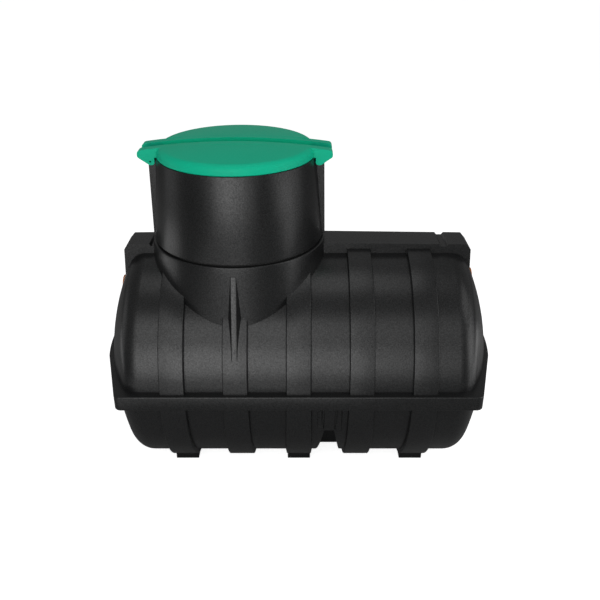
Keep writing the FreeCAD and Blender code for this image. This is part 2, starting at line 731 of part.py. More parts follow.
def tank_nodes():
    """Every named piece, in the frame of the tank's axis."""
    form, hollow = body_form(0), body_form(WALL)
    neck_cone = neck_form(0, NECK_RIM_TOP)
    manhole = neck_form(WALL, NECK_RIM_TOP)
    nodes = shell_nodes(form, hollow, manhole)
    nodes.update(belt_nodes(form))
    for index in range(HOOP_COUNT):
        nodes["hoop_%d_upper" % (index + 1)] = upper_hoop(index, neck_cone)
        nodes["hoop_%d_lower" % (index + 1)] = lower_hoop(index, form)
    for step, name in enumerate(FEET):
        nodes[name] = foot(step * (HOOP_COUNT - 1) // (len(FEET) - 1), form)
    nodes["rail_left"] = rail(RAIL_LEFT_SETBACK - CROWN_APEX, neck_cone)
    nodes["rail_right"] = rail(CROWN_APEX - RAIL_RIGHT_SETBACK, neck_cone)
    nodes["neck"] = neck(form)
    nodes["gusset_back"] = gusset(neck_cone)
    nodes["gusset_front"] = nodes["gusset_back"].mirror(ORIGIN, Y_AXIS)
    nodes["gasket"] = gasket()
    nodes["riser"] = riser()
    nodes["fin_left"] = fin(-1)
    nodes["fin_right"] = fin(1)
    for name, (end, height) in PIPES.items():
        nodes[name] = pipe_node(end, height)
    nodes.update(lid_nodes())
    return nodes


os.makedirs("parts", exist_ok=True)
for node, shape in tank_nodes().items():
    shape.translate(vec(0, 0, AXIS_HEIGHT))
    shape.exportStep("parts/%s.step" % node)
    print("%-20s solids %d  litres %.2f  valid %s"
          % (node, len(shape.Solids), shape.Volume / 1e6, shape.isValid()))
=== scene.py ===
import logging
import math
from dataclasses import dataclass, field
from enum import Enum

import bmesh
import bpy
import numpy as np
from mathutils import Matrix, Vector


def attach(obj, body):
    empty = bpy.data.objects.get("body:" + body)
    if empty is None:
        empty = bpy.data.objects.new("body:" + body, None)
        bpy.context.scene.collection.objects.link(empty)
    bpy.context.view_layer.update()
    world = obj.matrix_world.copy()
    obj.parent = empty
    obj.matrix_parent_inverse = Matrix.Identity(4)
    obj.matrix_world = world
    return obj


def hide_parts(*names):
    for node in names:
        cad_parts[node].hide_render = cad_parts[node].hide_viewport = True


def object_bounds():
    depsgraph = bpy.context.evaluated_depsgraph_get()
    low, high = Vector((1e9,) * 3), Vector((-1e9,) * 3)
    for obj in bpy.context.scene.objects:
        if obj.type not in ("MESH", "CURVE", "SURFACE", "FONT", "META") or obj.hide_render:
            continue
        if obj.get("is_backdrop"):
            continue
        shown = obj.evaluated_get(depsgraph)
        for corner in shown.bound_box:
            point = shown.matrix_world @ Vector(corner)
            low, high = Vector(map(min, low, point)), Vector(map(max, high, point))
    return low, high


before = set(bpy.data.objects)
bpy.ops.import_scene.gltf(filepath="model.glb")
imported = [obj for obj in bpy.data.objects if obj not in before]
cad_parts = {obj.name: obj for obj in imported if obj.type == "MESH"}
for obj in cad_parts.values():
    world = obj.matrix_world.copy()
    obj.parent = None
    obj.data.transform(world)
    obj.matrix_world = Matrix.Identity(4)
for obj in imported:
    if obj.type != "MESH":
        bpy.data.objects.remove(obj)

# Underground water tank. Shapes are worked out in millimetres about the tank's own axis, with X
# along the tank, the front towards -Y and +Z up, and are raised to the ground frame when built.

LOG = logging.getLogger("tank")
MM = 0.001
QUARTER = math.pi / 2
Array = np.ndarray

# Metres within which points are one, and the shortest edge that is kept
WELD = 2e-6
SHORTEST = 1e-6

# Points on the arc of a fine, a middling and a large corner
FINE_STEPS = 4
CORNER_STEPS = 5
LARGE_STEPS = 6

BEVEL_STEPS = 3
BEVEL_ANGLE = math.radians(28)
SHARP_ANGLE = math.radians(32)

# Where a noise's values mostly lie, cells of the clouds to a metre, octaves of the clouds and of
# the two grains, and the scale of the coarser grain as a share of the finer
NOISE_SPAN = (0.3, 0.7)
CLOUD_SCALE = 3.5
CLOUD_DETAIL = 4.0
FINE_DETAIL = 2.0
COARSE_DETAIL = 1.0
COARSE_SHARE = 0.6

# Height in metres under which a light lies on the floor
LYING = 0.1


class Body(Enum):
    """Moving body that a piece rides on."""

    TANK = "tank"
    LID = "lid"


class Way(Enum):
    """Direction along an axis, as the sign of its coordinate."""

    def label(self) -> str:
        """Name in small letters, as the names of pieces and nodes have it."""
        return self.name.lower()


class Side(Way):
    """Flank of the tank, as the sign of Y."""

    FRONT = -1
    BACK = 1


class End(Way):
    """End of the tank or side of the lid, as the sign of X."""

    LEFT = -1
    RIGHT = 1


@dataclass(frozen=True)
class Sizes:
    """Sizes that several assemblies share, in millimetres about the tank's axis."""

    radius: float = 600.0
    wall: float = 10.0
    axis: float = 550.0
    belly: float = 528.0
    crown_radius: float = 1180.0
    crown_apex: float = 1023.0
    knuckle: float = 104.0
    hoop_count: int = 5
    hoop_pitch: float = 313.5
    hoop_height: float = 25.0
    belt_low: float = -13.0
    belt_top: float = 65.0
    rail_half: float = 85.0
    neck_place: float = -313.5
    rim_radius: float = 447.0
    rim_top: float = 673.0
    neck_slope: float = 28.0 / 307.0
    shelf_radius: float = 415.0
    riser_low: float = 681.0
    riser_top: float = 1105.0
    riser_low_radius: float = 436.0
    riser_top_radius: float = 400.0
    lock_radius: float = 5.0
    lock_reach: float = 420.0
    lock_height: float = 1086.0
    lock_half: float = 150.0
    lock_steps: int = 32
    round_steps: int = 160
    neck_halvings: int = 40

    def belt_middle(self) -> float:
        """Height of the middle of the belt, behind which the upper and lower quarters meet."""
        return (self.belt_low + self.belt_top) / 2

    def crown_centre(self) -> float:
        """Place along X of the centre of the right dome's crown."""
        return self.crown_apex - self.crown_radius

    def seam(self) -> float:
        """Place along X where the barrel ends and the knuckle begins."""
        reach, across = self.crown_radius - self.knuckle, self.radius - self.knuckle
        return self.crown_centre() + math.sqrt(reach**2 - across**2)

    def section(self, inset: float, crown_steps: int, knuckle_steps: int) -> Array:
        """Half section of the right dome: a crown arc that runs tangent into a knuckle arc.

        Args:
            inset: how far the section lies inside the outer surface.
            crown_steps: points on the crown arc, from the apex outwards.
            knuckle_steps: points on the knuckle arc, up to the seam with the barrel.

        Returns:
            Rows of place along X and distance from the axis.
        """
        across = self.radius - self.knuckle
        lean = math.atan2(across, self.seam() - self.crown_centre())
        crown = np.linspace(0.0, lean, crown_steps)
        bend = np.linspace(lean, QUARTER, knuckle_steps + 1)[1:]
        big, small = self.crown_radius - inset, self.knuckle - inset
        x = np.concatenate([self.crown_centre() + big * np.cos(crown), self.seam() + small * np.cos(bend)])
        return np.stack([x, np.concatenate([big * np.sin(crown), across + small * np.sin(bend)])], 1)

    def hoop_place(self, index: int) -> float:
        """Place of a hoop along the tank, counted from the left."""
        return (index - (self.hoop_count - 1) / 2) * self.hoop_pitch

    def neck_radius(self, height: Array | float) -> Array | float:
        """Radius of the neck's cone at a height."""
        return self.rim_radius + self.neck_slope * (self.rim_top - height)

    def neck_angle(self, across: Array, radius: Array, inset: float) -> Array:
        """Angle up from the horizontal at which a circle about the axis meets the neck's cone.

        Halving the interval again and again finds the angle where the circle's distance from the
        axis of the neck equals the cone's radius at that height, less the inset.

        Args:
            across: distance along X from the axis of the neck.
            radius: radius of the circle.
            inset: how far inside the cone the meeting lies.

        Returns:
            The angle, a right angle where the circle passes clear of the neck.
        """
        low = np.zeros(np.broadcast(across, radius).shape)
        high = np.full(low.shape, QUARTER)
        for _ in range(self.neck_halvings):
            middle = (low + high) / 2
            cone = self.neck_radius(radius * np.sin(middle)) - inset
            outside = (radius * np.cos(middle)) ** 2 + across**2 > cone**2
            low, high = np.where(outside, middle, low), np.where(outside, high, middle)
        return high


SIZES = Sizes()


def quads(rows: int, cols: int, wrap_rows: bool, wrap_cols: bool) -> Array:
    """Four-sided faces over a grid of points numbered row by row.

    Args:
        rows: rows of points.
        cols: points in a row.
        wrap_rows: whether the last row joins the first.
        wrap_cols: whether the last point of a row joins its first.

    Returns:
        Rows of four point numbers.
    """
    r = np.arange(rows if wrap_rows else rows - 1)[:, None]
    c = np.arange(cols if wrap_cols else cols - 1)[None, :]
    below, right = (r + 1) % rows, (c + 1) % cols
    corners = [r * cols + c, r * cols + right, below * cols + right, below * cols + c]
    return np.stack(np.broadcast_arrays(*corners), -1).reshape(-1, 4)


def rounded(points: list[tuple[float, float]], radii: float | tuple[float, ...], steps: int) -> Array:
    """Closed outline whose corners give way to arcs tangent to both sides.

    Each arc's centre lies on the bisector of its corner, at the radius over the sine of half
    the angle, and its points turn evenly from one tangent point to the other.

    Args:
        points: corners of the outline, no three in a line.
        radii: one radius for all corners or one for each.
        steps: points on each arc.

    Returns:
        Rows of two coordinates.
    """
    p = np.asarray(points, float)
    r = np.broadcast_to(np.asarray(radii, float), len(p))[:, None]
    back, ahead = np.roll(p, 1, 0) - p, np.roll(p, -1, 0) - p
    back /= np.linalg.norm(back, axis=1, keepdims=True)
    ahead /= np.linalg.norm(ahead, axis=1, keepdims=True)
    half = np.arccos(np.clip((back * ahead).sum(1, keepdims=True), -1, 1)) / 2
    middle = (back + ahead) / np.linalg.norm(back + ahead, axis=1, keepdims=True)
    centre = p + middle * r / np.sin(half)
    start = p + back * r / np.tan(half) - centre
    stop = p + ahead * r / np.tan(half) - centre
    sweep, t = math.pi - 2 * half, np.linspace(0, 1, steps)[None, :]
    first = (np.sin((1 - t) * sweep) / np.sin(sweep))[..., None]
    last = (np.sin(t * sweep) / np.sin(sweep))[..., None]
    return (centre[:, None] + start[:, None] * first + stop[:, None] * last).reshape(-1, 2)


def circle(steps: int) -> Array:
    """Angles of even steps once round, the last short of the first."""
    return np.linspace(0, 2 * math.pi, steps, endpoint=False)


def lattice(x: Array, y: Array, z: Array) -> Array:
    """Points from three arrays of coordinates, spread to one shape."""
    return np.stack(np.broadcast_arrays(x, y, z), -1)


def spin(profile: Array, place: float, steps: int) -> Array:
    """Loops of a profile turned about the upright axis through a place on X.

    Args:
        profile: rows of radius and height.
        place: where the axis stands on X.
        steps: loops round the circle.

    Returns:
        Loops of points, one for each step round.
    """
    turn = circle(steps)[:, None]
    radius, height = profile[None, :, 0], profile[None, :, 1]
    return lattice(place + radius * np.cos(turn), radius * np.sin(turn), height)


def prism(outline: Array, y_low: float, y_high: float, place: float = 0.0) -> Array:
    """Two loops of an XZ outline, carried along Y from one place to another."""
    return lattice(outline[None, :, 0] + place, np.array([[y_low], [y_high]]), outline[None, :, 1])


def show(name: str, data: bpy.types.ID) -> bpy.types.Object:
    """New object in the scene.

    Args:
        name: name of the object.
        data: mesh, light or camera that it holds.

    Returns:
        The object.
    """
    thing = bpy.data.objects.new(name, data)
    bpy.context.scene.collection.objects.link(thing)
    return thing


@dataclass(frozen=True)
class Plastic:
    """Moulded plastic: a colour with faint clouds, and a fine grain in roughness and bump.

    Attributes:
        slot: material slot of the record.
        colour: base colour, linear.
        cloud: colour that large soft clouds lean towards.
        roughness: lowest and highest roughness.
        grain: grains to a metre.
        depth: height of the grain in metres.
        specular: strength of the reflection.
        speckle: share by which the reflection varies from grain to grain.
    """

    slot: str
    colour: tuple[float, float, float]
    cloud: tuple[float, float, float]
    roughness: tuple[float, float]
    grain: float
    depth: float
    specular: float = 0.5
    speckle: float = 0.28

    def material(self) -> bpy.types.Material:
        """The finish as a material, made at its first use.

        The colour is mixed from two by the clouds. One noise feeds the roughness and the bump,
        and a coarser one the strength of the reflection.

        Returns:
            The material.
        """
        name = self.slot + "_finish"
        made = bpy.data.materials.get(name)
        if made:
            return made
        made = bpy.data.materials.new(name)
        made.use_nodes = True
        tree = made.node_tree
        shader = tree.nodes["Principled BSDF"]
        place = tree.nodes.new("ShaderNodeTexCoord")
        clouds = self.noise(tree, place, CLOUD_SCALE, CLOUD_DETAIL)
        colour = tree.nodes.new("ShaderNodeMix")
        colour.data_type = "RGBA"
        colour.inputs["A"].default_value = (*self.colour, 1)
        colour.inputs["B"].default_value = (*self.cloud, 1)
        tree.links.new(clouds.outputs["Fac"], colour.inputs["Factor"])
        tree.links.new(colour.outputs["Result"], shader.inputs["Base Color"])
        specks = self.noise(tree, place, self.grain, FINE_DETAIL)
        self.spread(tree, specks, shader.inputs["Roughness"], self.roughness)
        grains = self.noise(tree, place, self.grain * COARSE_SHARE, COARSE_DETAIL)
        gloss = (self.specular * (1 - self.speckle), self.specular * (1 + self.speckle))
        self.spread(tree, grains, shader.inputs["Specular IOR Level"], gloss)
        bump = tree.nodes.new("ShaderNodeBump")
        bump.inputs["Distance"].default_value = self.depth
        tree.links.new(specks.outputs["Fac"], bump.inputs["Height"])
        tree.links.new(bump.outputs["Normal"], shader.inputs["Normal"])
        return made

    @staticmethod
    def spread(
        tree: bpy.types.NodeTree,
        node: bpy.types.Node,
        socket: bpy.types.NodeSocket,
        span: tuple[float, float],
    ) -> None:
        """Spreads the middle of a noise evenly over a span of values and feeds a socket with it.

        Args:
            tree: node tree of the material.
            node: noise texture.
            socket: socket of the shader.
            span: lowest and highest value.
        """
        level = tree.nodes.new("ShaderNodeMapRange")
        level.inputs["From Min"].default_value, level.inputs["From Max"].default_value = NOISE_SPAN
        level.inputs["To Min"].default_value, level.inputs["To Max"].default_value = span
        tree.links.new(node.outputs["Fac"], level.inputs["Value"])
        tree.links.new(level.outputs["Result"], socket)

    @staticmethod
    def noise(
        tree: bpy.types.NodeTree, place: bpy.types.Node, scale: float, detail: float
    ) -> bpy.types.Node:
        """Noise texture fed by the piece's own coordinates.

        Args:
            tree: node tree of the material.
            place: texture coordinates.
            scale: cells to a metre.
            detail: octaves of the noise.

        Returns:
            The noise texture.
        """
        node = tree.nodes.new("ShaderNodeTexNoise")
        node.inputs["Scale"].default_value = scale
        node.inputs["Detail"].default_value = detail
        tree.links.new(place.outputs["Object"], node.inputs["Vector"])
        return node


BLACK = Plastic(
    "tank_black", (0.0075, 0.0078, 0.0080), (0.0100, 0.0103, 0.0106), (0.26, 0.36), 260.0, 0.00006
)
GREEN = Plastic(
    "lid_green", (0.006, 0.50, 0.29), (0.008, 0.56, 0.33), (0.34, 0.44), 260.0, 0.00005, 0.1, 0.2
)
ORANGE = Plastic(
    "pipe_orange", (0.50, 0.16, 0.04), (0.56, 0.20, 0.05), (0.30, 0.38), 500.0, 0.00005
)
RUBBER = Plastic(
    "gasket_rubber", (0.010, 0.010, 0.010), (0.014, 0.014, 0.014), (0.70, 0.85), 900.0, 0.0003
)


class Form:
    """Points and faces of one piece, gathered in millimetres."""

    def __init__(self) -> None:
        """Starts with nothing."""
        self.points: list[Array] = []
        self.faces: list[list[int]] = []
        self.count = 0

    def add(self, points: Array, faces: Array) -> "Form":
        """Adds points with the faces over them.

        Args:
            points: array of points of any shape.
            faces: rows of point numbers, counted from nought.

        Returns:
            The form itself.
        """
        flat = points.reshape(-1, 3)
        self.faces += (faces + self.count).tolist()
        self.points.append(flat)
        self.count += len(flat)
        return self

    def tube(self, loops: Array) -> "Form":
        """Closed skin over a row of closed loops, with one face over each end loop.

        Args:
            loops: loops of points.

        Returns:
            The form itself.
        """
        rows, cols = loops.shape[:2]
        start = self.count
        self.add(loops, quads(rows, cols, False, True))
        last = start + (rows - 1) * cols
        self.faces.append(list(range(start, start + cols)))
        self.faces.append(list(range(last, last + cols)))
        return self

    def ring(self, loops: Array) -> "Form":
        """Closed skin over closed loops, of which the last joins the first."""
        return self.add(loops, quads(*loops.shape[:2], True, True))

    def wall(self, outer: Array, inner: Array) -> "Form":
        """Closed wall between two grids of the same size.

        Each row of one grid and the same row of the other, turned round, make a loop, and a strip
        of faces closes the first loop and the last.

        Args:
            outer: grid of points on the outer surface.
            inner: grid of points on the inner surface.

        Returns:
            The form itself.
        """
        rows, cols = outer.shape[:2]
        start = self.count
        self.add(np.concatenate([outer, inner[:, ::-1]], 1), quads(rows, 2 * cols, False, True))
        c = np.arange(cols - 1)
        strip = np.stack([c, c + 1, 2 * cols - 2 - c, 2 * cols - 1 - c], 1)
        for row in (0, rows - 1):
            self.faces += (strip + start + row * 2 * cols).tolist()
        return self

    def mesh(self, name: str) -> bpy.types.Mesh:
        """Welded mesh in metres in the ground frame, every face outwards.

        Args:
            name: name of the mesh.

        Returns:
            The mesh.
        """
        points = np.concatenate(self.points)
        points = (points + [0, 0, SIZES.axis]) * MM
        mesh = bpy.data.meshes.new(name)
        mesh.from_pydata(points.tolist(), [], self.faces)
        work = bmesh.new()
        work.from_mesh(mesh)
        bmesh.ops.remove_doubles(work, verts=work.verts, dist=WELD)
        bmesh.ops.dissolve_degenerate(work, edges=work.edges, dist=SHORTEST)
        bmesh.ops.recalc_face_normals(work, faces=work.faces)
        work.to_mesh(mesh)
        work.free()
        return mesh


class Tool(Enum):
    """What a second form does to a piece."""

    JOIN = "UNION"
    CUT = "DIFFERENCE"


def carve(piece: bpy.types.Object, steps: list[tuple[Tool, Form]]) -> None:
    """Joins forms to a piece or cuts them out of it, one after another.

    Args:
        piece: object to change.
        steps: what each form does, in order.
    """
    cutters = []
    for tool, form in steps:
        cutter = show("cutter", form.mesh("cutter"))
        change = piece.modifiers.new("carve", "BOOLEAN")
        change.operation, change.object, change.solver = tool.value, cutter, "EXACT"
        cutters.append(cutter)
    bpy.context.view_layer.update()
    carved = piece.evaluated_get(bpy.context.evaluated_depsgraph_get())
    mesh = bpy.data.meshes.new_from_object(carved)
    old, piece.data = piece.data, mesh
    mesh.name = piece.name
    piece.modifiers.clear()
    bpy.data.meshes.remove(old)
    for cutter in cutters:
        bpy.data.objects.remove(cutter)


def make(
    name: str,
    form: Form,
    finish: Plastic,
    nodes: list[str],
    body: Body = Body.TANK,
    bevel: float = 0.0,
    steps: list[tuple[Tool, Form]] | None = None,
) -> None:
    """Builds a piece, dresses it and ties it to the frame.

    Args:
        name: name of the piece.
        form: its shape.
        finish: its finish.
        nodes: nodes of the frame that it stands for.
        body: body that it rides on.
        bevel: width in millimetres of the rounding of its sharp edges, nought for none.
        steps: forms to join or cut.
    """
    piece = show(name, form.mesh(name))
    if steps:
        carve(piece, steps)
    mesh = piece.data
    mesh.materials.clear()
    mesh.materials.append(finish.material())
    mesh.shade_smooth()
    if bevel:
        edge = piece.modifiers.new("edge", "BEVEL")
        edge.width, edge.segments = bevel * MM, BEVEL_STEPS
        edge.limit_method, edge.angle_limit = "ANGLE", BEVEL_ANGLE
        edge.harden_normals = True
    else:
        mesh.set_sharp_from_angle(angle=SHARP_ANGLE)
    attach(piece, body.value)
    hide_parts(*nodes)
    LOG.info("%s: %d points, %d faces", name, len(mesh.vertices), len(mesh.polygons))


@dataclass
class Barrel:
    """Cylindrical wall of the body in four quarters, with pockets and flutes in the lower two."""

    sizes: Sizes = SIZES
    pocket_place: float = 156.75
    pocket_top: float = -192.0
    pocket_half_top: float = 26.0
    pocket_slope: float = 39.0 / 272.0
    pocket_back: float = 244.0
    roof_fall: float = 230.0
    flute_outer: float = 64.0
    flute_plane: float = 567.0
    lip: float = 6.0
    step: float = 1.0
    near_row: float = 8.0
    far_row: float = 12.0
    relax_reach: float = 300.0
    relax_run: float = 200.0
    left_columns: int = 3
    saddle_columns: int = 65
    right_columns: int = 24
    turn_rows: int = 49
    flute_rows: int = 18
    roof_rows: int = 26
    low_rows: int = 10
    belly_rows: int = 6
    pocket_columns: int = 4
    side_columns: int = 12

    def build(self) -> None:
        """Builds the four quarters."""
        for side in Side:
            name, wall = side.label(), self.sizes.wall
            upper = Form().wall(self.upper(0.0, side), self.upper(wall, side))
            make("barrel_upper_" + name, upper, BLACK, ["shell_upper_" + name])
            lower = Form().wall(self.lower(0.0, side), self.lower(wall, side))
            make("barrel_lower_" + name, lower, BLACK, ["shell_lower_" + name])

    def upper(self, inset: float, side: Side) -> Array:
        """Quarter cylinder that ends at the crown or inside the wall of the neck.

        The columns stand close together under the neck's sides, as the sine of an even turn, so
        that the saddle where the two round bodies meet stays smooth.

        Args:
            inset: how far the grid lies inside the outer surface.
            side: flank of the tank.

        Returns:
            Grid of points, a row for each place along the tank.
        """
        z = self.sizes
        reach = z.neck_radius(z.radius) - z.wall / 2
        saddle = z.neck_place + reach * np.sin(np.linspace(-QUARTER, QUARTER, self.saddle_columns))
        left = np.linspace(-z.seam(), saddle[0], self.left_columns)[:-1]
        right = np.linspace(saddle[-1], z.seam(), self.right_columns)[1:]
        x = np.concatenate([left, saddle, right])
        radius = z.radius - inset
        top = z.neck_angle(x - z.neck_place, np.array(radius), z.wall / 2)
        start = math.asin(z.belt_middle() / z.radius)
        angle = start + (top[:, None] - start) * np.linspace(0, 1, self.turn_rows)[None, :]
        return lattice(x[:, None], side.value * radius * np.cos(angle), radius * np.sin(angle))

    def heights(self) -> Array:
        """Heights of the rows of the flank, from behind the belt down to the belly.

        Returns:
            The heights, close together at the top of the pocket and even elsewhere.
        """
        roof_end = self.pocket_top - self.roof_fall
        bands = [
            np.linspace(self.sizes.belt_middle(), self.pocket_top + self.far_row, self.flute_rows),
            [self.pocket_top + self.lip, self.pocket_top, self.pocket_top - self.step],
            np.linspace(self.pocket_top - self.near_row, roof_end, self.roof_rows),
            np.linspace(roof_end - self.far_row, -self.sizes.belly, self.low_rows),
        ]
        return np.concatenate(bands)

    def columns(self, height: Array) -> tuple[Array, Array, Array]:
        """Places of the columns across the pocket at each height.

        Columns come in pairs a millimetre apart at each wall, with a third a lip's width outside,
        which gives the walls their broken edge; the pairs of the pocket spread with its sides.

        Args:
            height: heights of the rows.

        Returns:
            Distance of each column from the middle of the pocket, and marks for the columns
            inside the pocket and inside the flutes.
        """
        drop = np.maximum(0, self.pocket_top - height)[:, None]
        inner = self.pocket_half_top + self.pocket_slope * drop
        outer = np.maximum(self.flute_outer, inner + 3 * self.lip)
        step, lip, last = self.step, self.lip, self.pocket_columns - 1
        middle = inner * np.linspace(0, 1, self.pocket_columns)[None, :-1]
        walls = [inner - step, inner, inner + lip, outer - lip, outer - step, outer, outer + lip]
        half = np.concatenate([middle, *walls], 1)
        number = np.arange(half.shape[1])
        marks = [number <= last, (number >= last + 2) & (number <= last + 4)]
        both = np.concatenate([-half[:, :0:-1], half], 1)
        return (both, *[np.concatenate([mark[:0:-1], mark]) for mark in marks])

    def lower(self, inset: float, side: Side) -> Array:
        """Flank and half of the belly, as a height field over X and Z that carries on flat below.

        The flank's Y is the least of three surfaces: the cylinder, the flat floor of the flutes
        within their columns, and the pocket's roof and back wall within its columns.

        Args:
            inset: how far the grid lies inside the outer surface.
            side: flank of the tank.

        Returns:
            Grid of points, a row for each height and then for each place on the belly.
        """
        z = self.sizes
        height = self.heights()
        offset, in_pocket, in_flute = self.columns(height)
        near = offset[:, :1], offset[:, -1:]
        share = np.linspace(0, 1, self.side_columns)
        left = near[0] + (-z.seam() - self.pocket_place - near[0]) * share[None, :0:-1]
        right = near[1] + (z.seam() - self.pocket_place - near[1]) * share[None, 1:]
        across = np.concatenate([left, offset, right], 1)
        ends = np.zeros(self.side_columns - 1, bool)
        pocket_cols = np.concatenate([ends, in_pocket, ends])[None, :]
        flute_cols = np.concatenate([ends, in_flute, ends])[None, :]
        round_y = np.sqrt(np.maximum(0, z.radius**2 - height**2))[:, None]
        y = np.where(flute_cols, np.minimum(round_y, self.flute_plane), round_y)
        mouth = math.sqrt(z.radius**2 - self.pocket_top**2)
        fall = (self.pocket_top - height)[:, None] / self.roof_fall
        roof = np.maximum(self.pocket_back, mouth - self.lip - (mouth - self.pocket_back) * fall)
        inside = pocket_cols & (height < self.pocket_top - self.step / 2)[:, None]
        y = np.where(inside, np.minimum(y, roof), y)
        x_flat, z_flat = across, height[:, None]
        if inset:
            relax = np.clip((self.relax_reach - np.abs(across)) / self.relax_run, 0, 1)
            x_flat = across + np.sign(across) * inset * relax
            y = np.where(inside, y - inset, y * (z.radius - inset) / z.radius)
            z_flat = z_flat * (z.belly - inset) / z.belly
        flank = lattice(x_flat + self.pocket_place, side.value * y, z_flat)
        fade = np.linspace(1, 0, self.belly_rows)[1:, None, None]
        belly = flank[-1][None] * [1, 0, 1] + flank[-1][None] * [0, 1, 0] * fade
        return np.concatenate([flank, belly], 0)


@dataclass
class Dome:
    """Domed end: crown and knuckle with a flat belly, and a flat pad with a pipe through it."""

    end: End
    pipe_end: float
    pipe_height: float
    sizes: Sizes = SIZES
    pipe_radius: float = 55.0
    pipe_wall: float = 3.2
    pipe_lip: float = 0.8
    pipe_tail: float = 104.0
    pad_radius: float = 63.0
    pad_setback: float = 14.0
    pad_play: float = 0.2
    cut_in: float = 50.0
    cut_out: float = 100.0
    pipe_steps: int = 96
    crown_steps: int = 30
    knuckle_steps: int = 12
    turn_steps: int = 121
    belly_steps: int = 9

    def build(self) -> None:
        """Builds the dome and its pipe."""
        name = self.end.label()
        form = Form().tube(np.concatenate([self.skin(0.0), self.skin(self.sizes.wall)[::-1]]))
        pad = self.pipe_end - self.pad_setback
        root = self.pipe_end - self.pipe_tail
        face = self.rod(self.pad_radius + self.pad_play, pad, pad + 2 * self.cut_out)
        bore = self.rod(self.pipe_radius, root - self.cut_in, pad + self.cut_out)
        steps = [
            (Tool.JOIN, Form().tube(self.rod(self.pad_radius, root, pad))),
            (Tool.CUT, Form().tube(face)),
            (Tool.CUT, Form().tube(bore)),
        ]
        make("dome_" + name, form, BLACK, ["end_" + name], steps=steps)
        node = "pipe_inlet" if self.end is End.RIGHT else "pipe_outlet"
        make(node + "_tube", Form().ring(self.pipe(root)), ORANGE, [node])

    def skin(self, inset: float) -> Array:
        """Loops round the axis, from the apex to the seam with the barrel.

        A loop runs over the crown from one edge of the flat belly to the other and then
        straight back along the belly; a loop too small to reach the belly is a full circle.

        Args:
            inset: how far the skin lies inside the outer surface.

        Returns:
            Loops of points.
        """
        section = self.sizes.section(inset, self.crown_steps, self.knuckle_steps)
        x, radius = section[:, :1], section[:, 1:]
        belly = self.sizes.belly - inset
        edge = np.arcsin(np.minimum(1, belly / np.maximum(radius, 1)))
        turn = -edge + (math.pi + 2 * edge) * np.linspace(0, 1, self.turn_steps)[None, :]
        y, z = radius * np.cos(turn), radius * np.sin(turn)
        flat = np.linspace(-1, 1, self.belly_steps)[None, 1:-1]
        y = np.concatenate([y, flat * y[:, :1]], 1)
        z = np.concatenate([z, np.broadcast_to(z[:, :1], (len(z), flat.size))], 1)
        return lattice(self.end.value * x, y, z)

    def rod(self, radius: float, start: float, stop: float) -> Array:
        """Two circles of a rod along X at the pipe's height.

        Args:
            radius: radius of the rod.
            start: where it starts, as a distance from the middle of the tank.
            stop: where it ends.

        Returns:
            The two loops.
        """
        turn = circle(self.pipe_steps)[None, :]
        y, z = radius * np.cos(turn), self.pipe_height + radius * np.sin(turn)
        return lattice(self.end.value * np.array([[start], [stop]]), y, z)

    def pipe(self, root: float) -> Array:
        """Loops of the pipe's wall, a rounded rectangle turned about the pipe's axis.

        Args:
            root: where the pipe starts inside the tank.

        Returns:
            Loops of points, one for each step round.
        """
        bore, outer, tip = self.pipe_radius - self.pipe_wall, self.pipe_radius, self.pipe_end
        corners = [(root, bore), (tip, bore), (tip, outer), (root, outer)]
        section = rounded(corners, self.pipe_lip, FINE_STEPS)[None]
        turn = circle(self.pipe_steps)[:, None]
        y, z = section[..., 1] * np.cos(turn), self.pipe_height + section[..., 1] * np.sin(turn)
        return lattice(self.end.value * section[..., 0], y, z)


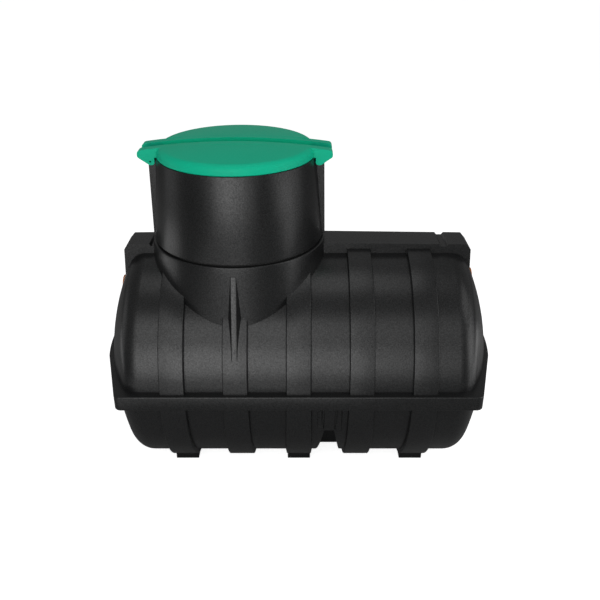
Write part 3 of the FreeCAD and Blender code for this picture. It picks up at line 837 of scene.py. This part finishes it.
@dataclass
class Hoops:
    """Hoops round the body, each in an upper pair and a wider, flaring lower pair."""

    sizes: Sizes = SIZES
    upper_half: float = 61.0
    upper_draft: float = 3.0
    lower_half: float = 66.5
    lower_belt_half: float = 62.0
    lower_draft: float = 8.0
    lower_belt_draft: float = 4.0
    edge: float = 4.5
    sink: float = 4.0
    tuck: float = 3.0
    belly_tuck: float = 0.5
    upper_steps: int = 57
    lower_steps: int = 49

    def build(self) -> None:
        """Builds every hoop's upper and lower pair."""
        for index in range(self.sizes.hoop_count):
            name = "hoop_%d" % (index + 1)
            upper, lower = Form(), Form()
            for side in Side:
                upper.tube(self.upper(index, side))
                lower.tube(self.lower(index, side))
            make(name + "_top_band", upper, BLACK, [name + "_upper"])
            make(name + "_low_band", lower, BLACK, [name + "_lower"])

    def profile(self, half: float, draft: float) -> Array:
        """Trapezium section across X and radius with round crest corners.

        Args:
            half: half the width of the crest.
            draft: how much further each side reaches at the foot.

        Returns:
            Rows of place across and radius.
        """
        base, crest = self.sizes.radius - self.sink, self.sizes.radius + self.sizes.hoop_height
        corners = [(-half - draft, base), (-half, crest), (half, crest), (half + draft, base)]
        return rounded(corners, (0, self.edge, self.edge, 0), LARGE_STEPS)

    def upper(self, index: int, side: Side) -> Array:
        """Section swept from the belt up to the rail, or to the neck where that comes first.

        Every point of the section follows its own circle and stops at its own angle, so that the
        end of the hoop lies on the surface that stops it.

        Args:
            index: which hoop, counted from the left.
            side: flank of the tank.

        Returns:
            Loops of points from the belt upwards.
        """
        z = self.sizes
        section = self.profile(self.upper_half, self.upper_draft)
        x, radius = section[:, 0] + z.hoop_place(index), section[:, 1]
        start = np.arcsin((z.belt_top - self.tuck) / radius)
        at_rail = np.arccos((z.rail_half - self.tuck) / radius)
        stop = np.minimum(at_rail, z.neck_angle(x - z.neck_place, radius, self.sink))
        angle = start + (stop - start) * np.linspace(0, 1, self.upper_steps)[:, None]
        return lattice(x, side.value * radius * np.cos(angle), radius * np.sin(angle))

    def lower(self, index: int, side: Side) -> Array:
        """Section swept from the belt down to the belly while it widens with the drop.

        Args:
            index: which hoop, counted from the left.
            side: flank of the tank.

        Returns:
            Loops of points from the belt downwards.
        """
        z = self.sizes
        narrow = self.profile(self.lower_belt_half, self.lower_belt_draft)
        wide = self.profile(self.lower_half, self.lower_draft)
        radius = narrow[:, 1]
        start = np.arcsin((z.belt_low + self.tuck) / radius)
        stop = -np.arcsin((z.belly - self.belly_tuck) / radius)
        angle = start + (stop - start) * np.linspace(0, 1, self.lower_steps)[:, None]
        height = radius * np.sin(angle)
        share = (z.belt_low - height) / (z.belly + z.belt_low)
        along = z.hoop_place(index) + narrow[:, 0] + (wide[:, 0] - narrow[:, 0]) * share
        return lattice(along, side.value * radius * np.cos(angle), height)


@dataclass
class Belt:
    """Belt round the body at mid height, with rounded corners and slanting, bowed ends."""

    sizes: Sizes = SIZES
    half_width: float = 644.0
    corner_x: float = 908.0
    corner_radius: float = 36.0
    slant_y: float = 246.0
    half_length: float = 1047.0
    edge: float = 4.0
    sink: float = 5.0
    nose_steps: int = 24
    line_steps: int = 16
    bend_steps: int = 12
    flank_steps: int = 29
    crown_steps: int = 400
    knuckle_steps: int = 200

    def build(self) -> None:
        """Builds the belt as one closed ring."""
        nodes = ["belt_" + part for part in ("front", "back", "left", "right")]
        make("belt_ring", Form().ring(self.loops()), BLACK, nodes)

    def loops(self) -> Array:
        """Section of the belt at each point of its plan.

        The section runs out from the wall, round a quarter circle at the lower edge and one at
        the upper, and back. Its points stand back from the plan square to the plan's own way.

        Returns:
            Loops of points, one for each point of the plan.
        """
        outer, inner = self.outline(), self.inner()
        way = np.roll(outer, -1, 0) - np.roll(outer, 1, 0)
        out = np.stack([way[:, 1], -way[:, 0]], 1) / np.linalg.norm(way, axis=1, keepdims=True)
        low, top = self.sizes.belt_low, self.sizes.belt_top
        turn = np.linspace(0, QUARTER, CORNER_STEPS)
        bend = self.edge * (1 - np.sin(turn))
        lift = self.edge * (1 - np.cos(turn))
        back = np.concatenate([bend, bend[::-1]])
        rim = outer[:, None] - out[:, None] * back[None, :, None]
        plan = np.concatenate([inner[:, None], rim, inner[:, None]], 1)
        level = np.concatenate([[low], low + lift, top - lift[::-1], [top]])
        return lattice(plan[..., 0], plan[..., 1], level)

    def outline(self) -> Array:
        """Plan of the outer edge, anticlockwise from the middle of the right end.

        One quarter runs from the nose along a flat arc, a straight slant and a corner arc to the
        middle of the flank, and is mirrored to the other three.

        Returns:
            Rows of X and Y.
        """
        corner, middle = (self.corner_x, self.half_width), (0.0, self.half_width)
        slant = (self.sizes.crown_apex, self.slant_y)
        bow = self.half_length - self.sizes.crown_apex
        radius = (self.slant_y**2 + bow**2) / 2 / bow
        turn = np.linspace(0, math.asin(self.slant_y / radius), self.nose_steps, endpoint=False)
        nose = np.stack([self.half_length - radius * (1 - np.cos(turn)), radius * np.sin(turn)], 1)
        arcs = rounded([slant, corner, middle], self.corner_radius, self.bend_steps)
        bend = arcs[self.bend_steps : 2 * self.bend_steps]
        share = np.linspace(0, 1, self.line_steps, endpoint=False)[:, None]
        line = np.array(slant) + (bend[0] - slant) * share
        return self.mirrored(np.concatenate([nose, line, bend, self.flank(bend[-1])]))

    def inner(self) -> Array:
        """Plan of the edge inside the wall, with as many points as the outline.

        The dome's section is divided into even lengths and carried on straight along the flank.

        Returns:
            Rows of X and Y.
        """
        section = self.sizes.section(self.sink, self.crown_steps, self.knuckle_steps)
        length = np.concatenate([[0], np.cumsum(np.linalg.norm(np.diff(section, axis=0), axis=1))])
        count = self.nose_steps + self.line_steps + self.bend_steps
        at = length[-1] * np.linspace(0, 1, count)
        dome = np.stack([np.interp(at, length, section[:, 0]), np.interp(at, length, section[:, 1])], 1)
        return self.mirrored(np.concatenate([dome, self.flank(dome[-1])]))

    def flank(self, start: Array) -> Array:
        """Points from a place on the flank straight on to the flank's middle."""
        return start + ([0.0, start[1]] - start) * np.linspace(0, 1, self.flank_steps)[1:, None]

    @staticmethod
    def mirrored(quarter: Array) -> Array:
        """Whole loop from the quarter between the +X nose and the middle of the +Y flank."""
        half = np.concatenate([quarter, quarter[-2::-1] * [-1, 1]])
        return np.concatenate([half, half[-2:0:-1] * [1, -1]])


@dataclass
class Rail:
    """Length of the rail along the crown, with a strap notch and a chamfered end."""

    end: End
    tip: float
    sizes: Sizes = SIZES
    top_middle: float = 652.0
    top_end: float = 643.0
    chamfer_run: float = 26.0
    chamfer_drop: float = 30.0
    end_slope: float = 0.055
    notch_place: float = 759.0
    notch_top: float = 23.0
    notch_floor: float = 13.0
    notch_depth: float = 13.0
    sink: float = 5.0
    tuck: float = 3.0
    bevel: float = 4.0
    crown_steps: int = 60
    knuckle_steps: int = 30

    def build(self) -> None:
        """Builds the rail as a side outline carried across the crown, its edges rounded."""
        half, name = self.sizes.rail_half, self.end.label()
        root, under = self.root(), self.under()
        outline = np.concatenate([self.top(root), under[::-1], [(root, under[0, 1])]])
        form = Form().tube(prism(outline, -half, half))
        make("crown_rail_" + name, form, BLACK, ["rail_" + name], bevel=self.bevel)

    def root(self) -> float:
        """Place along X inside the neck's wall where the rail starts.

        It is where the rail's side, at half its width from the middle, meets the neck's circle.

        Returns:
            The place.
        """
        z = self.sizes
        reach = z.neck_radius(z.radius) - self.tuck
        return z.neck_place + self.end.value * math.sqrt(reach**2 - z.rail_half**2)

    def top(self, root: float) -> Array:
        """Upper edge from the neck outwards: a slight fall, the notch and the chamfer.

        Where the neck covers the near wall of the notch, the edge starts on the notch's floor.

        Args:
            root: where the rail starts.

        Returns:
            Rows of X and height.
        """
        way, place = self.end.value, self.notch_place
        chamfer = self.tip - way * self.chamfer_run
        crest = self.top_middle + (self.top_end - self.top_middle) * place / abs(chamfer)
        floor = crest - self.notch_depth
        edge = [
            (root, self.top_middle),
            (way * (place - self.notch_top), crest),
            (way * (place - self.notch_floor), floor),
            (way * (place + self.notch_floor), floor),
            (way * (place + self.notch_top), crest),
            (chamfer, self.top_end),
            (self.tip, self.top_end - self.chamfer_drop),
        ]
        if abs(root) > place - self.notch_top:
            edge = [(root, floor), *edge[3:]]
        return np.array(edge)

    def under(self) -> Array:
        """Lower edge, which follows the dome at the rail's side from the barrel to the end face.

        The end face leans outwards by a fixed slope below the chamfer, and the last point is
        where the dome crosses it, found between two neighbours by their distances from it.

        Returns:
            Rows of X and height.
        """
        z = self.sizes
        section = z.section(self.sink, self.crown_steps, self.knuckle_steps)[::-1]
        height = np.sqrt(np.maximum(section[:, 1] ** 2 - z.rail_half**2, 0))
        under = np.stack([section[:, 0], height], 1)
        lean = self.end_slope * (self.top_end - self.chamfer_drop - height)
        gap = section[:, 0] - abs(self.tip) - lean
        last = int(np.argmax(gap > 0))
        share = gap[last] / (gap[last] - gap[last - 1])
        meeting = under[last] + (under[last - 1] - under[last]) * share
        return np.concatenate([under[:last], [meeting]]) * [self.end.value, 1]


@dataclass
class Foot:
    """Flat pad under a hoop, its top shaped to stay inside the belly and the hoop."""

    name: str
    index: int
    sizes: Sizes = SIZES
    half_length: float = 358.0
    half_width: float = 63.0
    flat_reach: float = 330.0
    crest_inset: float = 8.0
    belly_tuck: float = 6.0
    bevel: float = 3.0
    flat_steps: int = 12

    def build(self) -> None:
        """Builds the pad as a row of upright rectangles along Y."""
        z = self.sizes
        flat = np.linspace(-self.flat_reach, self.flat_reach, self.flat_steps)
        y = np.concatenate([[-self.half_length], flat, [self.half_length]])
        inside = -np.sqrt((z.radius + z.hoop_height - self.crest_inset) ** 2 - y**2)
        top = np.where(np.abs(y) > self.flat_reach + 1, inside, -z.belly + self.belly_tuck)
        x = z.hoop_place(self.index) + self.half_width * np.array([-1, 1, 1, -1])
        low = np.full(len(y), -z.axis)
        loops = lattice(x, y[:, None], np.stack([low, low, top, top], 1))
        make(self.name + "_pad", Form().tube(loops), BLACK, [self.name], bevel=self.bevel)


@dataclass
class Neck:
    """Conical neck with its rim and shelf, two gussets and the gasket on the rim."""

    sizes: Sizes = SIZES
    sink: float = 4.0
    rim_edge: float = 5.0
    gasket_inner: float = 418.0
    gasket_radius: float = 428.0
    gasket_edge: float = 1.5
    gusset_top: float = 627.0
    gusset_low: float = 236.0
    gusset_half_edge: float = 13.5
    gusset_half_root: float = 35.0
    gusset_depth: float = 60.0
    gusset_edge: float = 4.0
    gusset_proud: float = 1.0
    gusset_lift: float = 3.0
    first_guess: float = 0.8
    saddle_rounds: int = 20
    wall_steps: int = 9

    def build(self) -> None:
        """Builds the neck, the gussets and the gasket."""
        make("neck_wall", Form().ring(self.wall()), BLACK, ["neck"])
        for side in Side:
            name = side.label()
            make("neck_gusset_" + name, Form().tube(self.gusset(side)), BLACK, ["gusset_" + name])
        z, inner, outer = self.sizes, self.gasket_inner, self.gasket_radius
        corners = [(inner, z.rim_top), (outer, z.rim_top), (outer, z.riser_low), (inner, z.riser_low)]
        ring = spin(rounded(corners, self.gasket_edge, FINE_STEPS), z.neck_place, z.round_steps)
        make("gasket_ring", Form().ring(ring), RUBBER, ["gasket"])

    def foot_height(self, turn: Array, inset: float, radius: float) -> Array:
        """Height at which the cone, made smaller by inset, meets a cylinder about the tank's axis.

        Some rounds of putting the cone's radius at the last height into the cylinder's equation
        settle on the saddle curve.

        Args:
            turn: angle round the neck.
            inset: how far inside the cone.
            radius: radius of the cylinder.

        Returns:
            Height for each angle.
        """
        height = np.full(turn.shape, radius * self.first_guess)
        for _ in range(self.saddle_rounds):
            y = (self.sizes.neck_radius(height) - inset) * np.sin(turn)
            height = np.sqrt(np.maximum(radius**2 - y**2, 0))
        return height

    def wall(self) -> Array:
        """Closed section of the wall at each angle, from the saddle to the rim, the shelf and back.

        The rim's outer edge is a quarter circle, and both faces of the wall are straight.

        Returns:
            Loops of points, one for each angle.
        """
        z = self.sizes
        turn = circle(z.round_steps)
        outer_low = self.foot_height(turn, 0.0, z.radius - self.sink)[:, None]
        inner_low = self.foot_height(turn, z.wall, z.radius - z.wall)[:, None]
        share = np.linspace(0, 1, self.wall_steps)[None, :]
        side_top = z.rim_top - self.rim_edge
        outer = outer_low + (side_top - outer_low) * share
        under = z.rim_top - z.wall
        inner = inner_low + (under - inner_low) * share[:, ::-1]
        bend = np.linspace(0, QUARTER, LARGE_STEPS)[None, 1:]
        rim_z = side_top + self.rim_edge * np.sin(bend)
        rim_r = z.neck_radius(side_top) - self.rim_edge * (1 - np.cos(bend))
        ones = np.ones_like(outer_low)
        shelf_r = z.shelf_radius * ones
        radius = [z.neck_radius(outer), rim_r * ones, shelf_r, shelf_r, z.neck_radius(inner) - z.wall]
        height = [outer, rim_z * ones, z.rim_top * ones, under * ones, inner]
        r, h = np.concatenate(radius, 1), np.concatenate(height, 1)
        return lattice(z.neck_place + r * np.cos(turn)[:, None], r * np.sin(turn)[:, None], h)

    def gusset(self, side: Side) -> Array:
        """Trapezium with a narrow outer edge, carried in a straight line from rim to hoop.

        Args:
            side: flank of the tank.

        Returns:
            The two end loops.
        """
        z = self.sizes
        crest = z.radius + z.hoop_height
        start = np.array([z.neck_radius(self.gusset_top) + self.gusset_proud, self.gusset_top])
        stop = np.array([math.sqrt(crest**2 - self.gusset_low**2) + self.gusset_lift, self.gusset_low])
        along = (stop - start) / np.linalg.norm(stop - start)
        inward = np.array([along[1], -along[0]])
        edge, root, depth = self.gusset_half_edge, self.gusset_half_root, self.gusset_depth
        corners = [(-edge, 0.0), (edge, 0.0), (root, depth), (-root, depth)]
        section = rounded(corners, (self.gusset_edge, self.gusset_edge, 0, 0), CORNER_STEPS)
        yz = np.stack([start, stop])[:, None] + inward * section[None, :, 1:]
        return lattice(z.neck_place + section[None, :, 0], side.value * yz[..., 0], yz[..., 1])


@dataclass
class Riser:
    """Tapered riser with an inward foot, and a fin with a tab up each side."""

    sizes: Sizes = SIZES
    corners: tuple[float, ...] = (1, 3, 3, 3, 2, 2)
    fin_reach: float = 443.0
    fin_foot_reach: float = 450.0
    fin_half: float = 20.0
    fin_sink: float = 5.0
    fin_corners: tuple[float, ...] = (0, 0, 8, 9, 9, 3, 0, 0)
    fin_bevel: float = 4.0
    tab_root: float = 383.0
    tab_reach: float = 464.0
    tab_top: float = 1128.0
    tab_low: float = 1100.0
    tab_flare: float = 24.0

    def radius(self, height: float) -> float:
        """Outer radius at a height, which falls evenly from the foot to the mouth.

        Args:
            height: height above the tank's axis.

        Returns:
            The radius.
        """
        z = self.sizes
        taper = (z.riser_low_radius - z.riser_top_radius) / (z.riser_top - z.riser_low)
        return z.riser_top_radius + taper * (z.riser_top - height)

    def build(self) -> None:
        """Builds the riser and its fins."""
        z = self.sizes
        floor, mouth = z.riser_low + z.wall, self.radius(z.riser_top)
        points = [
            (z.shelf_radius, z.riser_low),
            (self.radius(z.riser_low), z.riser_low),
            (mouth, z.riser_top),
            (mouth - z.wall, z.riser_top),
            (self.radius(floor) - z.wall, floor),
            (z.shelf_radius, floor),
        ]
        ring = spin(rounded(points, self.corners, CORNER_STEPS), z.neck_place, z.round_steps)
        make("riser_wall", Form().ring(ring), BLACK, ["riser"])
        for end in End:
            name, form = end.label(), Form().tube(self.fin(end))
            steps = [(Tool.CUT, lock_hole())] if end is End.LEFT else None
            make("fin_%s_plate" % name, form, BLACK, ["fin_" + name], bevel=self.fin_bevel, steps=steps)

    def fin(self, end: End) -> Array:
        """Side outline of a fin with its tab, carried through the fin's thickness.

        Args:
            end: side of the riser.

        Returns:
            The two end loops.
        """
        z = self.sizes
        points = [
            (self.radius(z.riser_low) - self.fin_sink, z.riser_low),
            (self.fin_foot_reach, z.riser_low),
            (self.fin_reach, self.tab_low - self.tab_flare),
            (self.tab_reach, self.tab_low),
            (self.tab_reach, self.tab_top),
            (self.tab_root, self.tab_top),
            (self.tab_root, z.riser_top),
            (z.riser_top_radius - self.fin_sink, z.riser_top),
        ]
        outline = rounded(points, self.fin_corners, LARGE_STEPS) * [end.value, 1]
        return prism(outline, -self.fin_half, self.fin_half, z.neck_place)


def lock_hole() -> Form:
    """Rod across the left ears and tab, for the padlock's hole.

    Returns:
        The rod, two circles joined along Y.
    """
    z, turn = SIZES, circle(SIZES.lock_steps)
    x = z.lock_radius * np.cos(turn) - z.lock_reach
    height = z.lock_radius * np.sin(turn) + z.lock_height
    return Form().tube(prism(np.stack([x, height], 1), -z.lock_half, z.lock_half, z.neck_place))


@dataclass
class Lid:
    """Lid of two domed leaves with a bullnose edge, a slotted bar between them and a plug."""

    sizes: Sizes = SIZES
    seat_gap: float = 0.3
    radius: float = 397.0
    bullnose: float = 35.0
    crown: float = 1174.9
    lip: float = 18.0
    lip_edge: float = 4.0
    thick: float = 7.0
    tuck: float = 4.0
    bar_half: float = 88.0
    slot_half: float = 37.0
    slot_depth: float = 20.0
    slot_end: float = 374.0
    bar_reach: float = 482.0
    bar_end_top: float = 1142.0
    bar_depth: float = 27.0
    bar_web: float = 384.0
    bar_corner: float = 10.0
    bar_bevel: float = 3.5
    top_stop: float = 22.0
    ear_run: float = 60.0
    ear_inner: float = 398.0
    ear_clearance: float = 406.0
    ear_shoulder: float = 1108.0
    ear_tip: float = 1068.0
    ear_tip_outer: float = 424.0
    ear_corners: tuple[float, ...] = (0, 18, 14, 14, 14, 0, 0, 0, 0)
    clearance_depth: float = 200.0
    plug_radius: float = 382.0
    plug_wall: float = 8.0
    plug_low: float = 1060.0
    plug_rise: float = 12.0
    plug_edge: float = 1.5
    dome_steps: int = 26
    nose_steps: int = 13
    leaf_steps: int = 97
    arch_steps: int = 40
    web_steps: int = 24
    floor_steps: int = 61

    def build(self) -> None:
        """Builds the leaves, the bar and the plug."""
        for side in Side:
            name = side.label()
            form = Form().wall(self.leaf(0.0, side), self.leaf(self.thick, side))
            make("lid_dome_" + name, form, GREEN, ["lid_leaf_" + name], Body.LID)
        z, bar = self.sizes, Form()
        for side in Side:
            near, far = sorted((side.value * self.slot_half, side.value * self.bar_half))
            bar.tube(prism(self.rail(), near, far, z.neck_place))
        half = self.slot_half + self.tuck
        steps = [
            (Tool.JOIN, Form().tube(prism(self.floor(), -half, half, z.neck_place))),
            (Tool.CUT, self.clearance()),
            (Tool.CUT, lock_hole()),
        ]
        make("lid_cross_bar", bar, GREEN, ["lid_bar"], Body.LID, bevel=self.bar_bevel, steps=steps)
        outer, top = self.plug_radius, z.riser_top + self.plug_rise
        inner, low = outer - self.plug_wall, self.plug_low
        corners = [(inner, low), (outer, low), (outer, top), (inner, top)]
        ring = spin(rounded(corners, self.plug_edge, FINE_STEPS), z.neck_place, z.round_steps)
        make("lid_plug_ring", Form().ring(ring), GREEN, ["lid_plug"], Body.LID)

    def seat(self) -> float:
        """Height of the lid's lower face, just clear of the riser."""
        return self.sizes.riser_top + self.seat_gap

    def clearance(self) -> Form:
        """Upright rod that keeps the ears clear of the riser.

        Returns:
            The rod, from below the ears up to the seat.
        """
        reach, seat = self.ear_clearance, self.seat()
        ends = np.array([(reach, seat - self.clearance_depth), (reach, seat)])
        loops = spin(ends, self.sizes.neck_place, self.sizes.round_steps)
        return Form().tube(loops.transpose(1, 0, 2))

    def dome_radius(self) -> float:
        """Radius of the dome that runs tangent into the bullnose at the top of the lip.

        Two circles touch where the distance of their centres is the difference of their radii,
        which gives the dome's radius from the reach and the drop of the bullnose's centre.

        Returns:
            The radius.
        """
        reach = self.radius - self.bullnose
        drop = self.crown - self.sizes.riser_top - self.lip
        return (reach**2 + drop**2 - self.bullnose**2) / 2 / (drop - self.bullnose)

    def section(self, inset: float) -> Array:
        """Half section from the edge of the bar outwards: a flat dome, a bullnose and a broken lip.

        Args:
            inset: how far the section lies inside the outer surface.

        Returns:
            Rows of distance from the middle and height.
        """
        across, dome = self.radius - self.bullnose, self.dome_radius()
        centre = self.crown - dome
        bend = centre + math.sqrt((dome - self.bullnose) ** 2 - across**2)
        lean = math.atan2(bend - centre, across)
        big, nose = dome - inset, self.bullnose - inset
        first = math.acos((self.bar_half - self.tuck) / big)
        flat = np.linspace(first, lean, self.dome_steps)
        edge = np.linspace(lean, 0, self.nose_steps)[1:]
        lip_r = [across + nose, across + nose - self.lip_edge]
        lip_h = [self.seat() + self.lip_edge, self.seat()]
        r = np.concatenate([big * np.cos(flat), across + nose * np.cos(edge), lip_r])
        h = np.concatenate([centre + big * np.sin(flat), bend + nose * np.sin(edge), lip_h])
        return np.stack([r, h], 1)

    def leaf(self, inset: float, side: Side) -> Array:
        """Grid of a leaf: arcs about the middle that start and stop inside the bar.

        Args:
            inset: how far the grid lies inside the outer surface.
            side: front or back of the lid.

        Returns:
            Grid of points, a row for each point of the section.
        """
        section = self.section(inset)
        r, h = section[:, :1], section[:, 1:]
        start = np.arcsin(np.minimum(1, (self.bar_half - self.tuck) / r))
        turn = start + (math.pi - 2 * start) * np.linspace(0, 1, self.leaf_steps)[None, :]
        return lattice(self.sizes.neck_place + r * np.cos(turn), side.value * r * np.sin(turn), h)

    def arch(self, x: Array | float, drop: float) -> Array | float:
        """Height of the bar's top arc, lower by drop, through the crown and the bar's end.

        Args:
            x: distance from the middle.
            drop: how far the arc is lowered.

        Returns:
            Height at each distance.
        """
        reach, fall = self.bar_reach - self.bar_corner, self.crown - self.bar_end_top
        radius = (reach**2 + fall**2) / 2 / fall
        return self.crown - drop - radius + np.sqrt(radius**2 - x**2)

    def rail(self) -> Array:
        """Side outline of one rail of the bar with its two ears, mirrored about the middle.

        It runs along the top arc, round the ear's corners, up its inner side to the seat and back
        along the arc under the bar. The first corner and the last two only steer the arcs beside
        them, and their own points are left out.

        Returns:
            Rows of X and height.
        """
        reach, web, seat = self.bar_reach, self.bar_web, self.seat()
        points = [
            (reach - self.ear_run, self.arch(reach - self.ear_run, 0.0)),
            (reach, self.arch(reach, 0.0)),
            (reach, self.ear_shoulder),
            (self.ear_tip_outer, self.ear_tip),
            (self.ear_inner, self.ear_tip),
            (self.ear_inner, seat),
            (web, seat),
            (web, self.arch(web, self.bar_depth)),
            (0.0, self.arch(0.0, self.bar_depth)),
        ]
        ear = rounded(points, self.ear_corners, LARGE_STEPS)[LARGE_STEPS : -2 * LARGE_STEPS]
        x = np.linspace(0, reach - self.top_stop, self.arch_steps)
        below = np.linspace(web, 0, self.web_steps)
        top = np.stack([x, self.arch(x, 0.0)], 1)
        under = np.stack([below, self.arch(below, self.bar_depth)], 1)
        half = np.concatenate([top, ear, under])
        return np.concatenate([half, half[-2:0:-1] * [-1, 1]])

    def floor(self) -> Array:
        """Side outline of the slot's floor with a wall down to the seat at each end.

        Returns:
            Rows of X and height.
        """
        seat, outer, inner = self.seat(), self.slot_end, self.slot_end - self.thick
        x = np.linspace(-outer, outer, self.floor_steps)
        back = np.linspace(inner, -inner, self.floor_steps)
        top = np.stack([x, self.arch(x, self.slot_depth)], 1)
        under = np.stack([back, self.arch(back, self.slot_depth + self.thick)], 1)
        right, left = [(outer, seat), (inner, seat)], [(-inner, seat), (-outer, seat)]
        return np.concatenate([top, right, under, left])


@dataclass(frozen=True)
class Panel:
    """Soft light on a circle round the tank.

    Attributes:
        name: name of the light.
        turn: degrees round from the front towards the right.
        reach: distance from the middle, level.
        height: height above the floor; one that lies on the floor shines upwards.
        size: width and height of the panel.
        shine: watts for each square metre.
    """

    name: str
    turn: float
    reach: float
    height: float
    size: tuple[float, float]
    shine: float

    def build(self, middle: tuple[float, float, float]) -> None:
        """Adds the light, turned to the middle and unseen by the camera itself.

        Args:
            middle: what the lights are turned to, in metres.
        """
        turn = math.radians(self.turn)
        x, y = middle[0] + self.reach * math.sin(turn), -self.reach * math.cos(turn)
        place = Vector((x, y, self.height))
        aim = place + Vector((0, 0, 1)) if self.height < LYING else Vector(middle)
        data = bpy.data.lights.new(self.name, "AREA")
        data.shape, data.size, data.size_y = "RECTANGLE", self.size[0], self.size[1]
        data.energy = self.shine * self.size[0] * self.size[1]
        light = show(self.name, data)
        light.visible_camera = False
        light.rotation_mode = "QUATERNION"
        light.location, light.rotation_quaternion = place, (place - aim).to_track_quat("Z", "Y")


@dataclass
class Studio:
    """Pale floor, soft lights and the camera at the photograph's place."""

    lens: float = 42.75
    sensor: float = 36.0
    far: float = 200.0
    place: tuple[float, float, float] = (0.0063, -3.521, 2.652)
    tilt: float = 62.525
    floor_size: float = 90.0
    middle: tuple[float, float, float] = (-0.3, 0.0, 1.0)
    floor_grey: float = 0.32
    floor_white: float = 0.95
    floor_glow: float = 0.83
    ambient: float = 0.19
    panels: list[Panel] = field(
        default_factory=lambda: [
            Panel("front_far_left", -30, 6.0, 1.75, (2.3, 3.1), 1.0),
            Panel("front_left", -15, 6.0, 1.75, (2.3, 3.1), 7.0),
            Panel("front_middle", 0, 6.0, 1.75, (2.3, 3.1), 5.65),
            Panel("front_right", 15, 6.0, 1.75, (2.3, 3.1), 2.9),
            Panel("side_front", 60, 6.0, 1.75, (1.57, 3.1), 3.07),
            Panel("side_middle", 75, 6.0, 1.75, (1.57, 3.1), 2.58),
            Panel("side_back", 90, 6.0, 1.75, (1.57, 3.1), 2.0),
            Panel("high_left", -15, 4.6, 4.6, (3.0, 2.6), 4.78),
            Panel("high_right", 15, 4.6, 4.6, (3.0, 2.6), 2.88),
            Panel("high_side", 75, 4.6, 4.6, (3.0, 2.6), 3.28),
            Panel("low_left", -30, 2.9, 0.04, (1.4, 2.6), 1.4),
            Panel("low_middle", 0, 2.9, 0.04, (1.4, 2.6), 1.9),
            Panel("zenith", 0, 0.01, 5.4, (3.2, 1.8), 3.4),
            Panel("over_back", 180, 2.6, 5.0, (3.6, 1.6), 0.6),
            Panel("card", 70, 2.66, 0.8, (0.8, 1.4), 2.87),
            Panel("back", 180, 6.0, 1.3, (5.0, 2.4), 0.5),
            Panel("left_end", -95, 6.0, 1.5, (3.0, 2.8), 1.2),
            Panel("low_back", 180, 3.0, 0.04, (3.0, 2.0), 8.0),
            Panel("low_right", 95, 3.6, 0.04, (1.8, 1.8), 3.5),
            Panel("low_left_end", -95, 3.6, 0.04, (1.8, 1.8), 3.5),
        ]
    )

    def build(self) -> None:
        """Builds the floor, the surroundings, the lights and the camera."""
        self.floor()
        self.surroundings()
        for panel in self.panels:
            panel.build(self.middle)
        self.camera()

    def floor(self) -> None:
        """Flat floor that looks white but keeps the object's shadow."""
        half = self.floor_size / 2
        corners = [(-half, -half, 0), (half, -half, 0), (half, half, 0), (-half, half, 0)]
        mesh = bpy.data.meshes.new("floor")
        mesh.from_pydata(corners, [], [(0, 1, 2, 3)])
        floor = show("floor", mesh)
        material = bpy.data.materials.new("floor")
        material.use_nodes = True
        tree = material.node_tree
        shader = tree.nodes["Principled BSDF"]
        shader.inputs["Roughness"].default_value = 1.0
        shader.inputs["Specular IOR Level"].default_value = 0.0
        seen = tree.nodes.new("ShaderNodeLightPath")
        colour = tree.nodes.new("ShaderNodeMix")
        colour.data_type = "RGBA"
        colour.inputs["A"].default_value = (*[self.floor_grey] * 3, 1)
        colour.inputs["B"].default_value = (*[self.floor_white] * 3, 1)
        tree.links.new(seen.outputs["Is Camera Ray"], colour.inputs["Factor"])
        tree.links.new(colour.outputs["Result"], shader.inputs["Base Color"])
        shader.inputs["Emission Color"].default_value = (1, 1, 1, 1)
        glow = tree.nodes.new("ShaderNodeMath")
        glow.operation = "MULTIPLY"
        glow.inputs[1].default_value = self.floor_glow
        tree.links.new(seen.outputs["Is Camera Ray"], glow.inputs[0])
        tree.links.new(glow.outputs["Value"], shader.inputs["Emission Strength"])
        mesh.materials.append(material)
        floor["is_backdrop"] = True

    def surroundings(self) -> None:
        """Even grey surroundings that the camera itself sees as white."""
        world = bpy.data.worlds.new("studio")
        bpy.context.scene.world = world
        world.use_nodes = True
        tree = world.node_tree
        ground = tree.nodes["Background"]
        ground.inputs["Color"].default_value = (1.0, 1.0, 1.0, 1)
        seen = tree.nodes.new("ShaderNodeLightPath")
        level = tree.nodes.new("ShaderNodeMapRange")
        level.inputs["To Min"].default_value = self.ambient
        level.inputs["To Max"].default_value = 1.0
        tree.links.new(seen.outputs["Is Camera Ray"], level.inputs["Value"])
        tree.links.new(level.outputs["Result"], ground.inputs["Strength"])

    def camera(self) -> None:
        """Adds the camera that looks down on the tank as the photograph does."""
        data = bpy.data.cameras.new("camera")
        data.lens, data.sensor_width = self.lens, self.sensor
        data.clip_end = self.far
        camera = show("camera", data)
        turn = Matrix.Rotation(math.radians(self.tilt), 4, "X")
        camera.matrix_world = Matrix.Translation(self.place) @ turn
        bpy.context.scene.camera = camera
        bpy.context.scene.view_settings.view_transform = "Standard"


def corners() -> list[list[float]]:
    """Lowest and highest corner of the shown object as plain lists."""
    return [[float(v) for v in corner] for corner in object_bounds()]


def main() -> None:
    """Builds the tank piece by piece, then the studio round it."""
    logging.basicConfig(level=logging.INFO, format="%(name)s %(message)s")
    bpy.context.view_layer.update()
    Barrel().build()
    Dome(End.RIGHT, pipe_end=936.0, pipe_height=412.0).build()
    Dome(End.LEFT, pipe_end=957.0, pipe_height=368.0).build()
    Hoops().build()
    Belt().build()
    Rail(End.LEFT, tip=-916.0).build()
    Rail(End.RIGHT, tip=902.0).build()
    for name, index in (("foot_left", 0), ("foot_middle", 2), ("foot_right", 4)):
        Foot(name, index).build()
    Neck().build()
    Riser().build()
    Lid().build()
    Studio().build()


if __name__ == "__main__":
    main()
